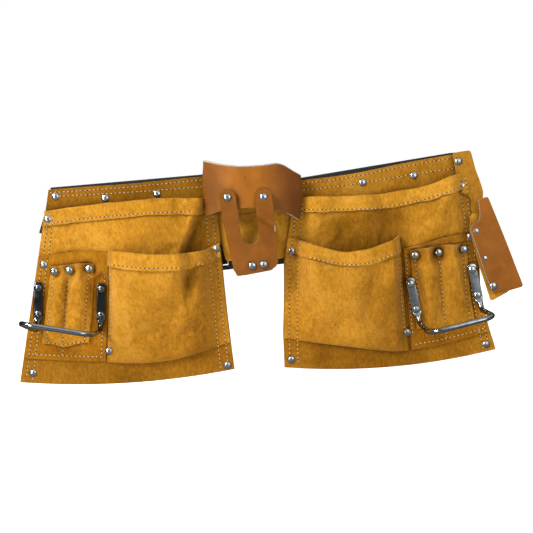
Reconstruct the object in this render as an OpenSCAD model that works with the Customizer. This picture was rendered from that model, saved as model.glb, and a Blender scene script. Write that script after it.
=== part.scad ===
// Carpenter's double-pouch tool belt, hanging as it is worn, with its webbing loop buckled and lying flat.
// Frame: +X to the wearer's left as seen from the front, -Y is the front, +Z is up.
// Origin: the middle of the webbing's front run, between the two pouches.

/* [Pouches] */
// Gap between the two pouches at their top corners
pouch_gap = 82; // [80:1:84]
// Thickness of the suede
suede_t = 2.0; // [1.8:0.1:2.0]

/* [Left pouch] */
// Width along the top edge
left_top_w = 191; // [185:1:195]
// Width along the bottom edge
left_bottom_w = 248; // [240:1:255]
// Height at the inner edge
left_h = 224; // [215:1:230]
// How far the bottom edge swings outward
left_sway = 29; // [20:1:35]
// Height of the top edge's inner corner
left_rise = 16; // [10:1:18]
// Tilt of the top edge, outer end up, in degrees
left_tilt = 0.9; // [0:0.1:2]
// How much higher the bottom's outer corner hangs than its inner corner
left_lift = 10; // [0:1:12]

/* [Right pouch] */
// Width along the top edge
right_top_w = 205; // [198:1:208]
// Width along the bottom edge
right_bottom_w = 245; // [238:1:252]
// Height at the inner edge
right_h = 212; // [206:1:220]
// How far the bottom edge swings outward
right_sway = -5; // [-8:1:5]
// Height of the top edge's inner corner
right_rise = 0; // [-2:1:6]
// Tilt of the top edge, outer end up, in degrees
right_tilt = 3.6; // [2:0.1:4]
// How much higher the bottom's outer corner hangs than its inner corner
right_lift = -4; // [-6:1:4]

/* [Pockets] */
// Forward bulge of the rear pocket
rear_bulge = 12; // [10:1:14]
// Forward bulge of the front pocket past the rear one
front_bulge = 20; // [16:1:22]
// Forward bulge of each tool sleeve
sleeve_bulge = 7; // [5:1:8]

/* [Hammer loops] */
// Thickness of the loop's steel rod
rod_d = 6; // [5:0.5:7]
// How far the loop stands forward of its plates
loop_reach = 58; // [50:1:62]
// Distance between the middles of the two plates
loop_w = 72; // [70:1:74]
// Length of a flattened, riveted end
plate_l = 44; // [42:1:46]

/* [Belt] */
// Width of the webbing
web_w = 50; // [46:1:50]
// Thickness of the webbing
web_t = 2.3; // [2.0:0.1:2.3]
// Distance from the belt's middle to where the webbing turns back
turn_x = 242; // [241:1:244]
// Depth of the webbing's back run behind the origin
back_y = 24; // [24:0.5:27]
// Height of the buckle's middle
buckle_z = -63; // [-66:1:-58]

/* [Tape holder] */
// Thickness of the smooth leather
hide_t = 3; // [2.5:0.5:3]
// Forward bow of the leather band
band_bow = 30; // [26:1:32]

/* [Hidden] */
$fn = 48;

SUEDE = [0.80, 0.55, 0.17];
HIDE = [0.62, 0.33, 0.13];
STEEL = [0.75, 0.76, 0.78];
BLACK = [0.06, 0.06, 0.07];

fit = 0.1;              // air left between sewn layers
hem_t = 1.6;            // extra thickness of a folded hem
grid_a = 1 / 24;        // across step of every draped sheet, so stacked sheets share their folds
grid_h = 1 / 20;        // down step of every draped sheet
layer = suede_t + fit;  // pitch of the stacked layers
panel_y = suede_t + fit;                        // front face of the centre panel, behind the pouches' edges
web_y = panel_y + suede_t + 0.3 + web_t / 2;    // depth of the webbing's front run
hemmed = hem_t / layer;  // a folded hem, counted in layers
half_gap = pouch_gap / 2;
hinge_x = 46;           // where the belt bends beside the centre panel

// One side of the belt:
// [inner top corner's height, tilt, top width, bottom width, height, sway, lift,
//  folds of the rear pocket, folds of the front pocket, seam rivets, tool panel's top,
//  sleeve stitching lines, sleeves' top, sleeves' bottom, loop's middle across, loop's middle down,
//  loop's plates lie over the sleeves' edges]
// Folds: where the bulge starts and is full across from the inner seam, starts to fall and is gone,
// then where down the pouch it starts to fade and is gone.
// Seam rivets: [across, down, layers of suede in front of the back panel, passes through the webbing]
LEFT = [
    left_rise, left_tilt, left_top_w, left_bottom_w, left_h, left_sway, left_lift,
    [0.085, 0.17, 0.44, 0.58, 0.50, 0.84], [0.085, 0.15, 0.47, 0.56, 0.60, 0.87],
    [[0.975, 0.156, 1 + hemmed, true], [0.962, 0.39, 2, false], [0.945, 0.956, 1, false],
     [0.032, 0.98, 1, false], [0.028, 0.375, 2 + hemmed, false], [0.59, 0.866, 2, false],
     [0.35, 0.07, 0, true], [0.655, 0.07, 0, true]],
    0.35, [0.71, 0.815, 0.895], 0.40, 0.80, 0.80, 0.592, false
];
RIGHT = [
    right_rise, right_tilt, right_top_w, right_bottom_w, right_h, right_sway, right_lift,
    [0.085, 0.20, 0.44, 0.58, 0.50, 0.84], [0.085, 0.20, 0.47, 0.56, 0.60, 0.87],
    [[0.96, 0.42, 2, false], [0.958, 0.972, 1, false], [0.032, 0.962, 1, false],
     [0.028, 0.375, 2 + hemmed, false], [0.59, 0.872, 2, false], [0.42, 0.068, 0, true],
     [0.705, 0.074, 0, true]],
    0.40, [0.66, 0.78, 0.91], 0.45, 0.85, 0.787, 0.668, true
];
function rear_folds(p) = p[7];
function front_folds(p) = p[8];
function seam_list(p) = p[9];
function tool_top(p) = p[10];
function sleeve_seams(p) = p[11];
function sleeve_top(p) = p[12];
function sleeve_bottom(p) = p[13];
function over_sleeves(p) = p[16];
CORNER_RIVET = [0.952, 0.04];
STRAP_RIVET = [0.955, 0.165];

// A straight step and a smooth one, from 0 at a to 1 at b
function ramp(t, a, b) = min(1, max(0, (t - a) / (b - a)));
function ss(t, a, b) = let (k = ramp(t, a, b)) k * k * (3 - 2 * k);

// The point [x, z] at share a across (0 inner seam, 1 outer seam) and share h down a pouch
function on_pouch(p, a, h) =
    let (
        top = [half_gap + a * p[2] * cos(p[1]), p[0] + a * p[2] * sin(p[1])],
        bottom = [half_gap + (p[2] - p[3]) / 2 + p[5] + a * p[3], p[0] - p[4] + a * p[6]]
    )
    top + (bottom - top) * h;

function bulge(f, a, h) = ss(a, f[0], f[1]) * (1 - ss(a, f[2], f[3])) * (1 - ss(h, f[4], f[5]));
function rear_depth(p, a, h) = rear_bulge * bulge(rear_folds(p), a, h);
function front_depth(p, a, h) = layer + rear_depth(p, a, h) + front_bulge * bulge(front_folds(p), a, h);

// The tool panel stands a little open at its mouth, and further out below, behind the sleeves
tool_grid = 0.02;
function tool_swell(p, a, h) =
    let (
        below = ramp(h, sleeve_top(p) + 0.05, sleeve_top(p) + 0.10),
        mouth = ramp(a, 0.62, 0.64) * (1 - ramp(a, 0.92, 0.94)),
        body = ramp(a, 0.68, 0.70) * (1 - ramp(a, 0.88, 0.90))
    )
    2 * mouth * (1 - below) + 5 * body * below * (1 - ss(h, 0.70, 0.85));
function tool_depth(p, a, h) = layer + rear_depth(p, a, h) + tool_swell(p, a, h);

// The sleeves bulge between their stitching lines, which keep a flat strip either side
flat_strip = 0.02;
sleeve_air = 1.0;       // air behind the sleeves' seams
function lobe(a, from, to) =
    let (start = from + flat_strip, end = to - flat_strip)
    a <= start || a >= end ? 0 : sin(180 * (a - start) / (end - start));
function sleeve_depth(p, a, h) =
    let (seams = sleeve_seams(p), fade = sleeve_bottom(p))
    tool_depth(p, a, h) + layer + sleeve_air
    + sleeve_bulge * (1 - ss(h, fade - 0.2, fade - 0.04))
      * (lobe(a, seams[0], seams[1]) + lobe(a, seams[1], seams[2]));

// A closed sheet of suede: depth(a, h) is how far forward of the back panel its rear face's layer lies
module sheet(p, depth, a0, a1, na, h0, h1, nh, hem = 0) {
    function at(i, j, front) =
        let (
            a = a0 + (a1 - a0) * i / na,
            h = h0 + (h1 - h0) * j / nh,
            q = on_pouch(p, a, h),
            fold = hem > 0 && h <= h0 + hem ? hem_t : 0
        )
        [q[0], -fit - depth(p, a, h) - (front ? suede_t + fold : 0), q[1]];
    across = na + 1;
    count = across * (nh + 1);
    points = [for (front = [true, false]) for (j = [0:nh]) for (i = [0:na]) at(i, j, front)];
    function id(i, j, back) = back * count + j * across + i;
    // Two triangles on the corners of a cell or of one piece of an edge, in order
    function pair(q) = [[q[0], q[1], q[2]], [q[0], q[2], q[3]]];
    function front_cell(i, j) = pair([id(i, j, 0), id(i + 1, j, 0), id(i + 1, j + 1, 0), id(i, j + 1, 0)]);
    function back_cell(i, j) = [
        [id(i, j, 1), id(i + 1, j + 1, 1), id(i + 1, j, 1)],
        [id(i, j, 1), id(i, j + 1, 1), id(i + 1, j + 1, 1)]
    ];
    function row_edge(i, j) = [id(i, j, 0), id(i, j, 1), id(i + 1, j, 1), id(i + 1, j, 0)];
    function side_edge(i, j) = [id(i, j, 0), id(i, j + 1, 0), id(i, j + 1, 1), id(i, j, 1)];
    function turned(q) = [q[0], q[3], q[2], q[1]];
    cells = [for (j = [0:nh - 1]) for (i = [0:na - 1]) for (f = concat(front_cell(i, j), back_cell(i, j))) f];
    top = [for (i = [0:na - 1]) for (f = pair(row_edge(i, 0))) f];
    bottom = [for (i = [0:na - 1]) for (f = pair(turned(row_edge(i, nh)))) f];
    inner = [for (j = [0:nh - 1]) for (f = pair(side_edge(0, j))) f];
    outer = [for (j = [0:nh - 1]) for (f = pair(turned(side_edge(na, j)))) f];
    polyhedron(points, concat(cells, top, bottom, inner, outer));
}

// The left pouch is the mirror image of the right one, with its own hang
module side(p) {
    if (p == LEFT) mirror([1, 0, 0]) children();
    else children();
}

// ---- Rivets and holes --------------------------------------------------------------------------------
cap_r = 4.5;
cap_t = 1.3;
shank_r = 1.8;
hole_r = 2.0;

// A tubular rivet along Y, clamping the layers from y = front to y = back
module rivet(front, back, tail_r = 4.2) {
    rotate([90, 0, 0])
        rotate_extrude()
            polygon([
                [0, -back - cap_t], [tail_r - 0.9, -back - cap_t], [tail_r, -back - 0.4],
                [tail_r, -back], [shank_r, -back], [shank_r, -front], [cap_r, -front],
                [cap_r, -front + 0.5], [cap_r - 1.4, -front + cap_t], [0, -front + cap_t]
            ]);
}

// A hole along Y, through everything or through the length l about y
module hole(x, z, y = 0, l = 400) {
    translate([x, y, z]) rotate([90, 0, 0]) cylinder(r = hole_r, h = l, center = true);
}

// The loop's plates lean with the pouch's outer edge, and their back faces lie on the suede
loop_roll = 7;
loop_air = 0.4;
function loop_y(p) = -fit - layer - suede_t - loop_air - (over_sleeves(p) ? layer + sleeve_air : 0);
loop_rivet_off = plate_l / 2 - 7;
sleeve_rivet_drop = 0.028;                      // how far the sleeves' rivets sit below their top edge
sleeve_tail_r = 3.2;
function loop_mid(p) = on_pouch(p, p[14], p[15]);
function loop_point(p, across, up) =
    let (c = cos(loop_roll), s = sin(loop_roll)) loop_mid(p) + [across * c - up * s, across * s + up * c];
LOOP_ENDS = [for (s = [-1, 1], u = [-1, 1]) [s * loop_w / 2, u * loop_rivet_off]];
function sleeve_rivet_h(p) = sleeve_top(p) + sleeve_rivet_drop;

module hole_at(q) hole(q[0], q[1]);
module seam_holes(p, least = 0) for (r = seam_list(p)) if (r[2] >= least) hole_at(on_pouch(p, r[0], r[1]));
module loop_holes(p) for (e = LOOP_ENDS) hole_at(loop_point(p, e[0], e[1]));
module sleeve_holes(p) for (a = sleeve_seams(p)) hole_at(on_pouch(p, a, sleeve_rivet_h(p)));
module corner_hole(p) hole_at(on_pouch(p, CORNER_RIVET[0], CORNER_RIVET[1]));
module strap_hole(p) hole_at(on_pouch(p, STRAP_RIVET[0], STRAP_RIVET[1]));

module rivet_at(q, front, back) translate([q[0], 0, q[1]]) rivet(front, back);
web_back = web_y + web_t / 2 + fit;

module seam_rivets(p) {
    for (r = seam_list(p))
        rivet_at(on_pouch(p, r[0], r[1]), -r[2] * layer - fit, r[3] ? web_back : suede_t + fit);
}

module corner_rivet(p) rivet_at(on_pouch(p, CORNER_RIVET[0], CORNER_RIVET[1]), -fit, web_back);

module loop_rivets(p) {
    for (e = LOOP_ENDS) rivet_at(loop_point(p, e[0], e[1]), loop_y(p) - plate_t - fit, suede_t + fit);
}

// These clamp only the sleeves to the tool panel
module sleeve_rivets(p) {
    h = sleeve_rivet_h(p);
    for (a = sleeve_seams(p)) {
        q = on_pouch(p, a, h);
        front = -fit - sleeve_depth(p, a, h) - suede_t - 1;
        back = -fit - tool_depth(p, a, h) + 0.7;
        translate([q[0], 0, q[1]]) rivet(front, back, sleeve_tail_r);
    }
}

// ---- Pouch pieces ------------------------------------------------------------------------------------
module back_panel(p) {
    corners = [on_pouch(p, 0, 0), on_pouch(p, 1, 0), on_pouch(p, 1, 1), on_pouch(p, 0, 1)];
    difference() {
        translate([0, suede_t, 0]) rotate([90, 0, 0]) linear_extrude(suede_t) polygon(corners);
        seam_holes(p);
        loop_holes(p);
        corner_hole(p);
        if (p == RIGHT) strap_hole(p);
    }
}

module rear_pocket(p) {
    difference() {
        sheet(p, function (p, a, h) rear_depth(p, a, h), 0, 1, 24, 0.10, 1, 18, hem = 0.075);
        seam_holes(p, 1);
        loop_holes(p);
        if (p == RIGHT) strap_hole(p);
    }
}

module front_pocket(p) {
    difference() {
        sheet(p, function (p, a, h) front_depth(p, a, h), 0, 14 * grid_a, 14, 0.35, 0.90, 11, hem = 0.085);
        seam_holes(p, 2);
    }
}

module tool_panel(p) {
    top = tool_top(p);
    rows = round((0.90 - top) / grid_h);
    difference() {
        sheet(p, function (p, a, h) tool_depth(p, a, h), 0.60, 1, round(0.40 / tool_grid), top, 0.90, rows);
        seam_holes(p, 2);
        loop_holes(p);
        sleeve_holes(p);
    }
}

module tool_sleeves(p) {
    seams = sleeve_seams(p);
    start = seams[0] - flat_strip;
    end = seams[2] + flat_strip;
    difference() {
        sheet(p, function (p, a, h) sleeve_depth(p, a, h), start, end, round(2 * (end - start) / tool_grid),
            sleeve_top(p), sleeve_bottom(p), round((sleeve_bottom(p) - sleeve_top(p)) / grid_h));
        sleeve_holes(p);
        loop_holes(p);
    }
}

// ---- Hammer loop -------------------------------------------------------------------------------------
plate_w = 10.5;
plate_t = 2.6;
bend_r = 7;
neck_l = 3;

module slab(w, l, t) {
    rotate([90, 0, 0]) linear_extrude(t) {
        square([w, l - w], center = true);
        for (s = [-1, 1]) translate([0, s * (l - w) / 2]) circle(d = w);
    }
}

// One flattened end with its neck and its run forward, on the +X side of the loop
module loop_leg() {
    rod_y = -rod_d / 2;
    translate([loop_w / 2, 0, 0]) {
        difference() {
            slab(plate_w, plate_l, plate_t);
            for (u = [-1, 1]) hole(0, u * loop_rivet_off);
        }
        translate([0, rod_y, -plate_l / 2 - neck_l]) cylinder(d = rod_d, h = neck_l + 2);
        translate([0, rod_y - bend_r, -plate_l / 2 - neck_l])
            rotate([0, 90, 0]) rotate_extrude(angle = 90) translate([bend_r, 0]) circle(d = rod_d);
    }
}

module hammer_loop(p) {
    run = loop_reach - 2 * bend_r - rod_d / 2;
    low = -plate_l / 2 - neck_l - bend_r;
    run_y = -rod_d / 2 - bend_r;
    mid = loop_mid(p);
    translate([mid[0], loop_y(p), mid[1]]) rotate([0, -loop_roll, 0]) {
        for (s = [0, 1]) mirror([s, 0, 0]) {
            loop_leg();
            translate([loop_w / 2, run_y, low]) rotate([90, 0, 0]) cylinder(d = rod_d, h = run);
            translate([loop_w / 2 - bend_r, run_y - run, low])
                rotate([0, 0, -90]) rotate_extrude(angle = 90) translate([bend_r, 0]) circle(d = rod_d);
        }
        translate([-(loop_w / 2 - bend_r), run_y - run - bend_r, low])
            rotate([0, 90, 0]) cylinder(d = rod_d, h = loop_w - 2 * bend_r);
    }
}

// ---- Webbing -----------------------------------------------------------------------------------------
bend_gap = 2;                                   // the webbing is cut this far either side of a bend
lap = 12;                                       // how far the turned end runs under the strap
strap_gap = 0.4;                                // air between the turned end and the strap over it
turn_r = (back_y - web_t - strap_gap - web_y) / 2;
turn_y = web_y + turn_r;                        // depth of the turn's middle, on the strap's hinge line
web_drop = web_w / 2 - 3;                       // the webbing shows 3 mm above the suede

function web_z(p, x) = p[0] - web_drop + (x - half_gap) * tan(p[1]);

// A flat band in a plane of constant y, following the middle line given as [x, z] points
module band_along(line, y, t, w) {
    up = [0, w / 2];
    translate([0, y + t / 2, 0]) rotate([90, 0, 0]) linear_extrude(t)
        polygon(concat([for (q = line) q + up], [for (i = [len(line) - 1:-1:0]) line[i] - up]));
}

// A rivet hole through the front run only
module pierce(q) hole(q[0], q[1], web_y, 2 * web_t);

module pouch_webbing(p) {
    z1 = web_z(p, turn_x);
    difference() {
        union() {
            band_along([[hinge_x + bend_gap, web_z(p, hinge_x)], [turn_x, z1]], web_y, web_t, web_w);
            translate([turn_x, turn_y, z1 - web_w / 2]) rotate([0, 0, -90])
                rotate_extrude(angle = 180) translate([turn_r - web_t / 2, 0]) square([web_t, web_w]);
            translate([turn_x - lap, turn_y + turn_r - web_t / 2, z1 - web_w / 2]) cube([lap, web_t, web_w]);
        }
        for (r = seam_list(p)) if (r[3]) pierce(on_pouch(p, r[0], r[1]));
        pierce(on_pouch(p, CORNER_RIVET[0], CORNER_RIVET[1]));
        if (p == RIGHT) pierce(on_pouch(p, STRAP_RIVET[0], STRAP_RIVET[1]));
    }
}

centre_x = hinge_x - bend_gap - 1;
CENTRE_RUN = [[-centre_x, web_z(LEFT, centre_x)], [centre_x, web_z(RIGHT, centre_x)]];

module centre_webbing() difference() {
    band_along(CENTRE_RUN, web_y, web_t, web_w);
    band_rivet_holes();
}

// The strap's end is sewn into an eye round the buckle's bar
eye_in = 2.5;
bar_r = 2.2;
level = 14;             // straight end beside the eye, before the strap starts to climb
tail_gap = 52;          // the right strap stops this far short of the insert's bar
tail_l = 72;            // length of the strap's doubled end
bar_x = hinge_x;

module eye() {
    translate([bar_x, back_y, buckle_z - web_w / 2]) difference() {
        cylinder(r = eye_in + web_t, h = web_w);
        translate([0, 0, -1]) cylinder(r = eye_in, h = web_w + 2);
    }
}

module left_strap() mirror([1, 0, 0]) {
    line = [[bar_x + eye_in + 0.5, buckle_z], [bar_x + level, buckle_z], [turn_x, web_z(LEFT, turn_x)]];
    difference() {
        band_along(line, back_y, web_t, web_w);
        translate([bar_x, back_y, buckle_z]) cylinder(r = eye_in + 0.4, h = web_w + 2, center = true);
    }
    eye();
}

// The right strap climbs from the buckle's level end to the turn
right_slope = (web_z(RIGHT, turn_x) - buckle_z) / (turn_x - bar_x - level);
function right_strap_at(x) = [x, buckle_z + (x - bar_x - level) * right_slope];

module right_strap() {
    line = [right_strap_at(bar_x + tail_gap), right_strap_at(turn_x)];
    band_along(line, back_y, web_t, web_w);
}

module strap_tail() {
    line = [[bar_x, buckle_z], right_strap_at(bar_x + level), right_strap_at(bar_x + tail_l)];
    band_along(line, back_y + eye_in + web_t / 2, web_t, web_w);
    eye();
}

keeper_x = 190;
keeper_l = 16;
module strap_keeper() {
    q = right_strap_at(keeper_x);
    angle = atan(right_slope);
    translate([q[0], back_y, q[1]]) rotate([0, -angle, 0]) difference() {
        cube([keeper_l, web_t + 3.6, web_w + 4], center = true);
        cube([keeper_l + 2, web_t + 0.8, web_w * cos(angle) + 0.8], center = true);
    }
}

// ---- Buckle ------------------------------------------------------------------------------------------
buckle_h = 62;
buckle_t = 14;
wall = 4;
mouth_x = 10;
housing_x = -37;
window = [-24, -4];
knuckle_x = 16;
knuckle_z = 17;
knuckle_r = 3;
prong_t = 8;

module rounded(w, h, r) {
    square([w - 2 * r, h], center = true);
    square([w, h - 2 * r], center = true);
    for (x = [-1, 1], y = [-1, 1]) translate([x * (w / 2 - r), y * (h / 2 - r)]) circle(r = r);
}

// A block with rounded long edges, running from x = from to x = to
module pill(from, to, h, t, r) {
    translate([from, 0, 0]) rotate([90, 0, 90]) linear_extrude(to - from) rounded(t, h, r);
}

module cheeks_and_bar(from, to, bar) {
    cheek = buckle_h / 2 - web_w / 2 - 1;
    for (z = [-buckle_h / 2, web_w / 2 + 1]) translate([from, -5, z]) cube([to - from, 10, cheek]);
    translate([bar, 0, 0]) cylinder(r = bar_r, h = web_w + 6, center = true);
}

module at_buckle() translate([0, back_y, buckle_z]) children();

module buckle_housing() at_buckle() {
    difference() {
        pill(housing_x, mouth_x, buckle_h, buckle_t, 4);
        translate([housing_x + 7, -prong_t / 2 - 0.6, -buckle_h / 2 + wall])
            cube([mouth_x - housing_x, prong_t + 1.2, buckle_h - 2 * wall]);
        translate([window[0], -prong_t / 2 - 0.6, -buckle_h / 2 - 1])
            cube([window[1] - window[0], prong_t + 1.2, buckle_h + 2]);
    }
    cheeks_and_bar(-bar_x - 5, housing_x + 0.5, -bar_x);
}

module buckle_insert() at_buckle() {
    base_x = mouth_x + 1;
    difference() {
        pill(base_x, -housing_x, buckle_h, buckle_t, 4);
        for (s = [-1, 1]) {
            translate([knuckle_x, 0, s * knuckle_z]) rotate([90, 0, 0])
                cylinder(r = knuckle_r + 0.1, h = prong_t + 0.8, center = true);
            translate([base_x - 1, -prong_t / 2 - 0.4, s * knuckle_z - 4.2])
                cube([knuckle_x - base_x + 1, prong_t + 0.8, 8.4]);
        }
    }
    translate([-26, -prong_t / 2, -7]) cube([base_x + 26.5, prong_t, 14]);
    cheeks_and_bar(-housing_x - 0.5, bar_x + 5, bar_x);
}

module prong() {
    reach = buckle_h / 2 - wall - 0.7;
    low = knuckle_z - 2;
    high = knuckle_z + 2;
    translate([0, prong_t / 2, 0]) rotate([90, 0, 0]) linear_extrude(prong_t)
        polygon([
            [knuckle_x, low], [-20, low], [-25, low + 3], [-25, high + 2.5], [-20, reach],
            [-7, reach], [-6, reach - 1], [-6, high], [knuckle_x, high]
        ]);
    translate([knuckle_x, 0, knuckle_z])
        rotate([90, 0, 0]) cylinder(r = knuckle_r, h = prong_t, center = true);
}

module upper_prong() at_buckle() prong();
module lower_prong() at_buckle() mirror([0, 0, 1]) prong();

// ---- Tape holder -------------------------------------------------------------------------------------
band_half = 52;         // half the band's width where its bow starts
bow_y = -13;            // depth of the bow's ends
foot_y = panel_y - fit - hide_t / 2;            // the band's feet lie on the centre panel
BAND_RIVETS = [[-23, 3], [-23, -21], [23, -6], [23, -24]];
CRADLE_TOP = [[-28, -12], [11.5, -15.5]];
CRADLE_BOTTOM = [for (x = [-13, 4]) [x, -90]];
cradle_x = -8;
cradle_w = 57;
slot_w = 20;
arm_r = 9.5;

// Centre line of the band seen from above: foot, turn, bow, turn, foot
rise = bow_y + band_bow;
bow_r = (band_half * band_half + rise * rise) / (2 * rise);
bow_angle = asin(band_half / bow_r);
function bow(x) = -band_bow + bow_r - sqrt(bow_r * bow_r - x * x);
FOOT = [
    [15, foot_y], [28, foot_y], [31.5, foot_y - 1.7], [33.3, foot_y - 4.5], [35, foot_y - 8.5],
    [38.5, foot_y - 11.3], [44, foot_y - 12.8]
];
BAND_LINE = concat(
    [for (q = FOOT) [-q[0], q[1]]],
    [for (i = [0:12]) let (x = bow_r * sin(bow_angle * (i / 6 - 1))) [x, bow(x)]],
    [for (i = [len(FOOT) - 1:-1:0]) FOOT[i]]
);

function unit(v) = v / norm(v);
function path_normal(line, i) =
    let (d = unit(line[min(i + 1, len(line) - 1)] - line[max(i - 1, 0)])) [-d[1], d[0]];
function thick_path(line, t) = concat(
    [for (i = [0:len(line) - 1]) line[i] + path_normal(line, i) * t / 2],
    [for (i = [len(line) - 1:-1:0]) line[i] - path_normal(line, i) * t / 2]
);

// The front outline of the band: it dips in the middle and its right end droops
BAND_OUTLINE = [
    [-60, 33], [-52, 33], [-34, 26], [-12, 21.5], [12, 20], [34, 21], [52, 6], [60, 0],
    [60, -42], [52, -42], [34, -33], [8, -26.5], [-14, -25.5], [-40, -26], [-60, -29]
];

module through_y(y0, y1) translate([0, y1, 0]) rotate([90, 0, 0]) linear_extrude(y1 - y0) children();
module band_rivet_holes() for (q = BAND_RIVETS) hole(q[0], q[1]);

module tape_band() {
    difference() {
        intersection() {
            translate([0, 0, -50]) linear_extrude(90) polygon(thick_path(BAND_LINE, hide_t));
            through_y(-60, 10) polygon(BAND_OUTLINE);
        }
        for (q = BAND_RIVETS) hole(q[0], q[1], 0, 12);
        for (q = CRADLE_TOP) hole(q[0], q[1], -band_bow, 30);
    }
}

module tape_band_rivets() for (q = BAND_RIVETS) rivet_at(q, foot_y - hide_t / 2 - fit, web_back);

module centre_panel() {
    side_x = hinge_x - bend_gap;
    difference() {
        translate([0, panel_y + suede_t, 0]) rotate([90, 0, 0]) linear_extrude(suede_t)
            polygon([
                [-side_x, left_rise - 4], [-side_x, -50], [-side_x + 4, -83], [30, -87], [40, -40],
                [side_x, right_rise - 4]
            ]);
        band_rivet_holes();
    }
}

cradle_y = -band_bow - hide_t / 2 - fit;        // back face of the cradle, against the bow's crown

module cradle_outline() {
    left = cradle_x - cradle_w / 2;
    right = cradle_x + cradle_w / 2;
    polygon([
        [left, CRADLE_TOP[0][1]], [left + 3, -60], [left + 10, -100], [right - 9, -96], [right - 1, -88],
        [right, CRADLE_TOP[1][1]]
    ]);
}

module tape_cradle() {
    slot_x = cradle_x + 0.5;
    difference() {
        translate([0, cradle_y, 0]) rotate([90, 0, 0]) linear_extrude(hide_t) difference() {
            union() {
                cradle_outline();
                for (q = CRADLE_TOP) translate(q) circle(r = arm_r);
            }
            translate([slot_x, -56]) circle(d = slot_w);
            translate([slot_x - slot_w / 2, -56]) square([slot_w, 80]);
        }
        for (q = concat(CRADLE_TOP, CRADLE_BOTTOM)) hole_at(q);
    }
}

// The suede flap behind the cradle's foot: it slopes forward from the centre panel, then hangs down
module cradle_backing() {
    y = cradle_y + fit;
    profile = [[1.5, -34], [-0.5, -34], [y, -80], [y, -103], [y + suede_t, -103], [y + suede_t, -80.8]];
    difference() {
        intersection() {
            translate([-26, 0, 0]) rotate([90, 0, 90]) linear_extrude(40) polygon(profile);
            through_y(-50, 10) polygon([[-26, -30], [-26, -97], [-20, -103], [14, -99], [14, -30]]);
        }
        for (q = CRADLE_BOTTOM) hole_at(q);
    }
}

module cradle_top_rivets() {
    for (q = CRADLE_TOP) rivet_at(q, cradle_y - hide_t - fit, bow(q[0]) + hide_t / 2 + 2);
}

module cradle_bottom_rivets() {
    for (q = CRADLE_BOTTOM) rivet_at(q, cradle_y - hide_t - fit, cradle_y + fit + suede_t + fit);
}

// ---- Square holder -----------------------------------------------------------------------------------
strap_front = -2 * layer - 2 * fit - hem_t;     // front face of the hanger strap
STRAP_RIVETS = [for (r = [CORNER_RIVET, STRAP_RIVET]) on_pouch(RIGHT, r[0], r[1])];
neck = [251, -60];                              // the holder swings about this point
holder_lean = 16;                               // degrees outward from straight down
holder_y = -9.8;                                // front face of the suede backing
blade_gap = 4;                                  // room for a square's blade
SLEEVE_EDGE = [[-9, -16], [-11, -48], [-13, -81]];   // the sleeve's rivets, in the holder's own frame

module square_strap() {
    difference() {
        translate([0, strap_front + suede_t, 0]) rotate([90, 0, 0]) linear_extrude(suede_t)
            polygon([
                [231, 13], [251, 14.5], [255, -8], [260, -44], [256, -54], [248, -55], [243, -44], [233, -33]
            ]);
        for (q = STRAP_RIVETS) hole_at(q);
    }
}

module square_strap_rivets() for (q = STRAP_RIVETS) rivet_at(q, strap_front - fit, web_back);

// The holder's own frame: origin at the neck, -Z down along the sleeve
module at_holder() translate([neck[0], 0, neck[1]]) rotate([0, -holder_lean, 0]) children();
module holder_layer(front, t) translate([0, front + t, 0]) rotate([90, 0, 0]) linear_extrude(t) children();

module square_backing() at_holder() difference() {
    holder_layer(holder_y, suede_t)
        polygon([[-6, 3], [2, 3], [5, -9], [15, -9], [16.5, -89], [-20, -97], [-18, -60], [-14, -14]]);
    for (q = SLEEVE_EDGE) hole_at(q);
}

module square_sleeve() at_holder() difference() {
    front = holder_y - blade_gap - hide_t;
    union() {
        holder_layer(front, hide_t)
            polygon([
                [6.5, 16.5], [17.5, 16], [18.5, -94], [-17, -89], [-14.5, -11], [-8, -7], [0, -4], [4, 6]
            ]);
        holder_layer(front + hide_t - fit, blade_gap) polygon([[13, -87], [16, -87], [14.5, -11], [11.5, -11]]);
        holder_layer(front + hide_t - fit, blade_gap) polygon([[-16.5, -86], [-8.5, -87], [-4.5, -11], [-13.5, -12]]);
    }
    for (q = SLEEVE_EDGE) hole_at(q);
}

module square_sleeve_rivets() at_holder() {
    for (q = SLEEVE_EDGE) rivet_at(q, holder_y - blade_gap - hide_t - fit, holder_y + suede_t + fit);
}

// ---- Assembly ----------------------------------------------------------------------------------------
// All of the above is drawn from the pouches' inner top corners; the origin is the middle of the webbing
origin = [0, web_y, (CENTRE_RUN[0][1] + CENTRE_RUN[1][1]) / 2];

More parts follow.
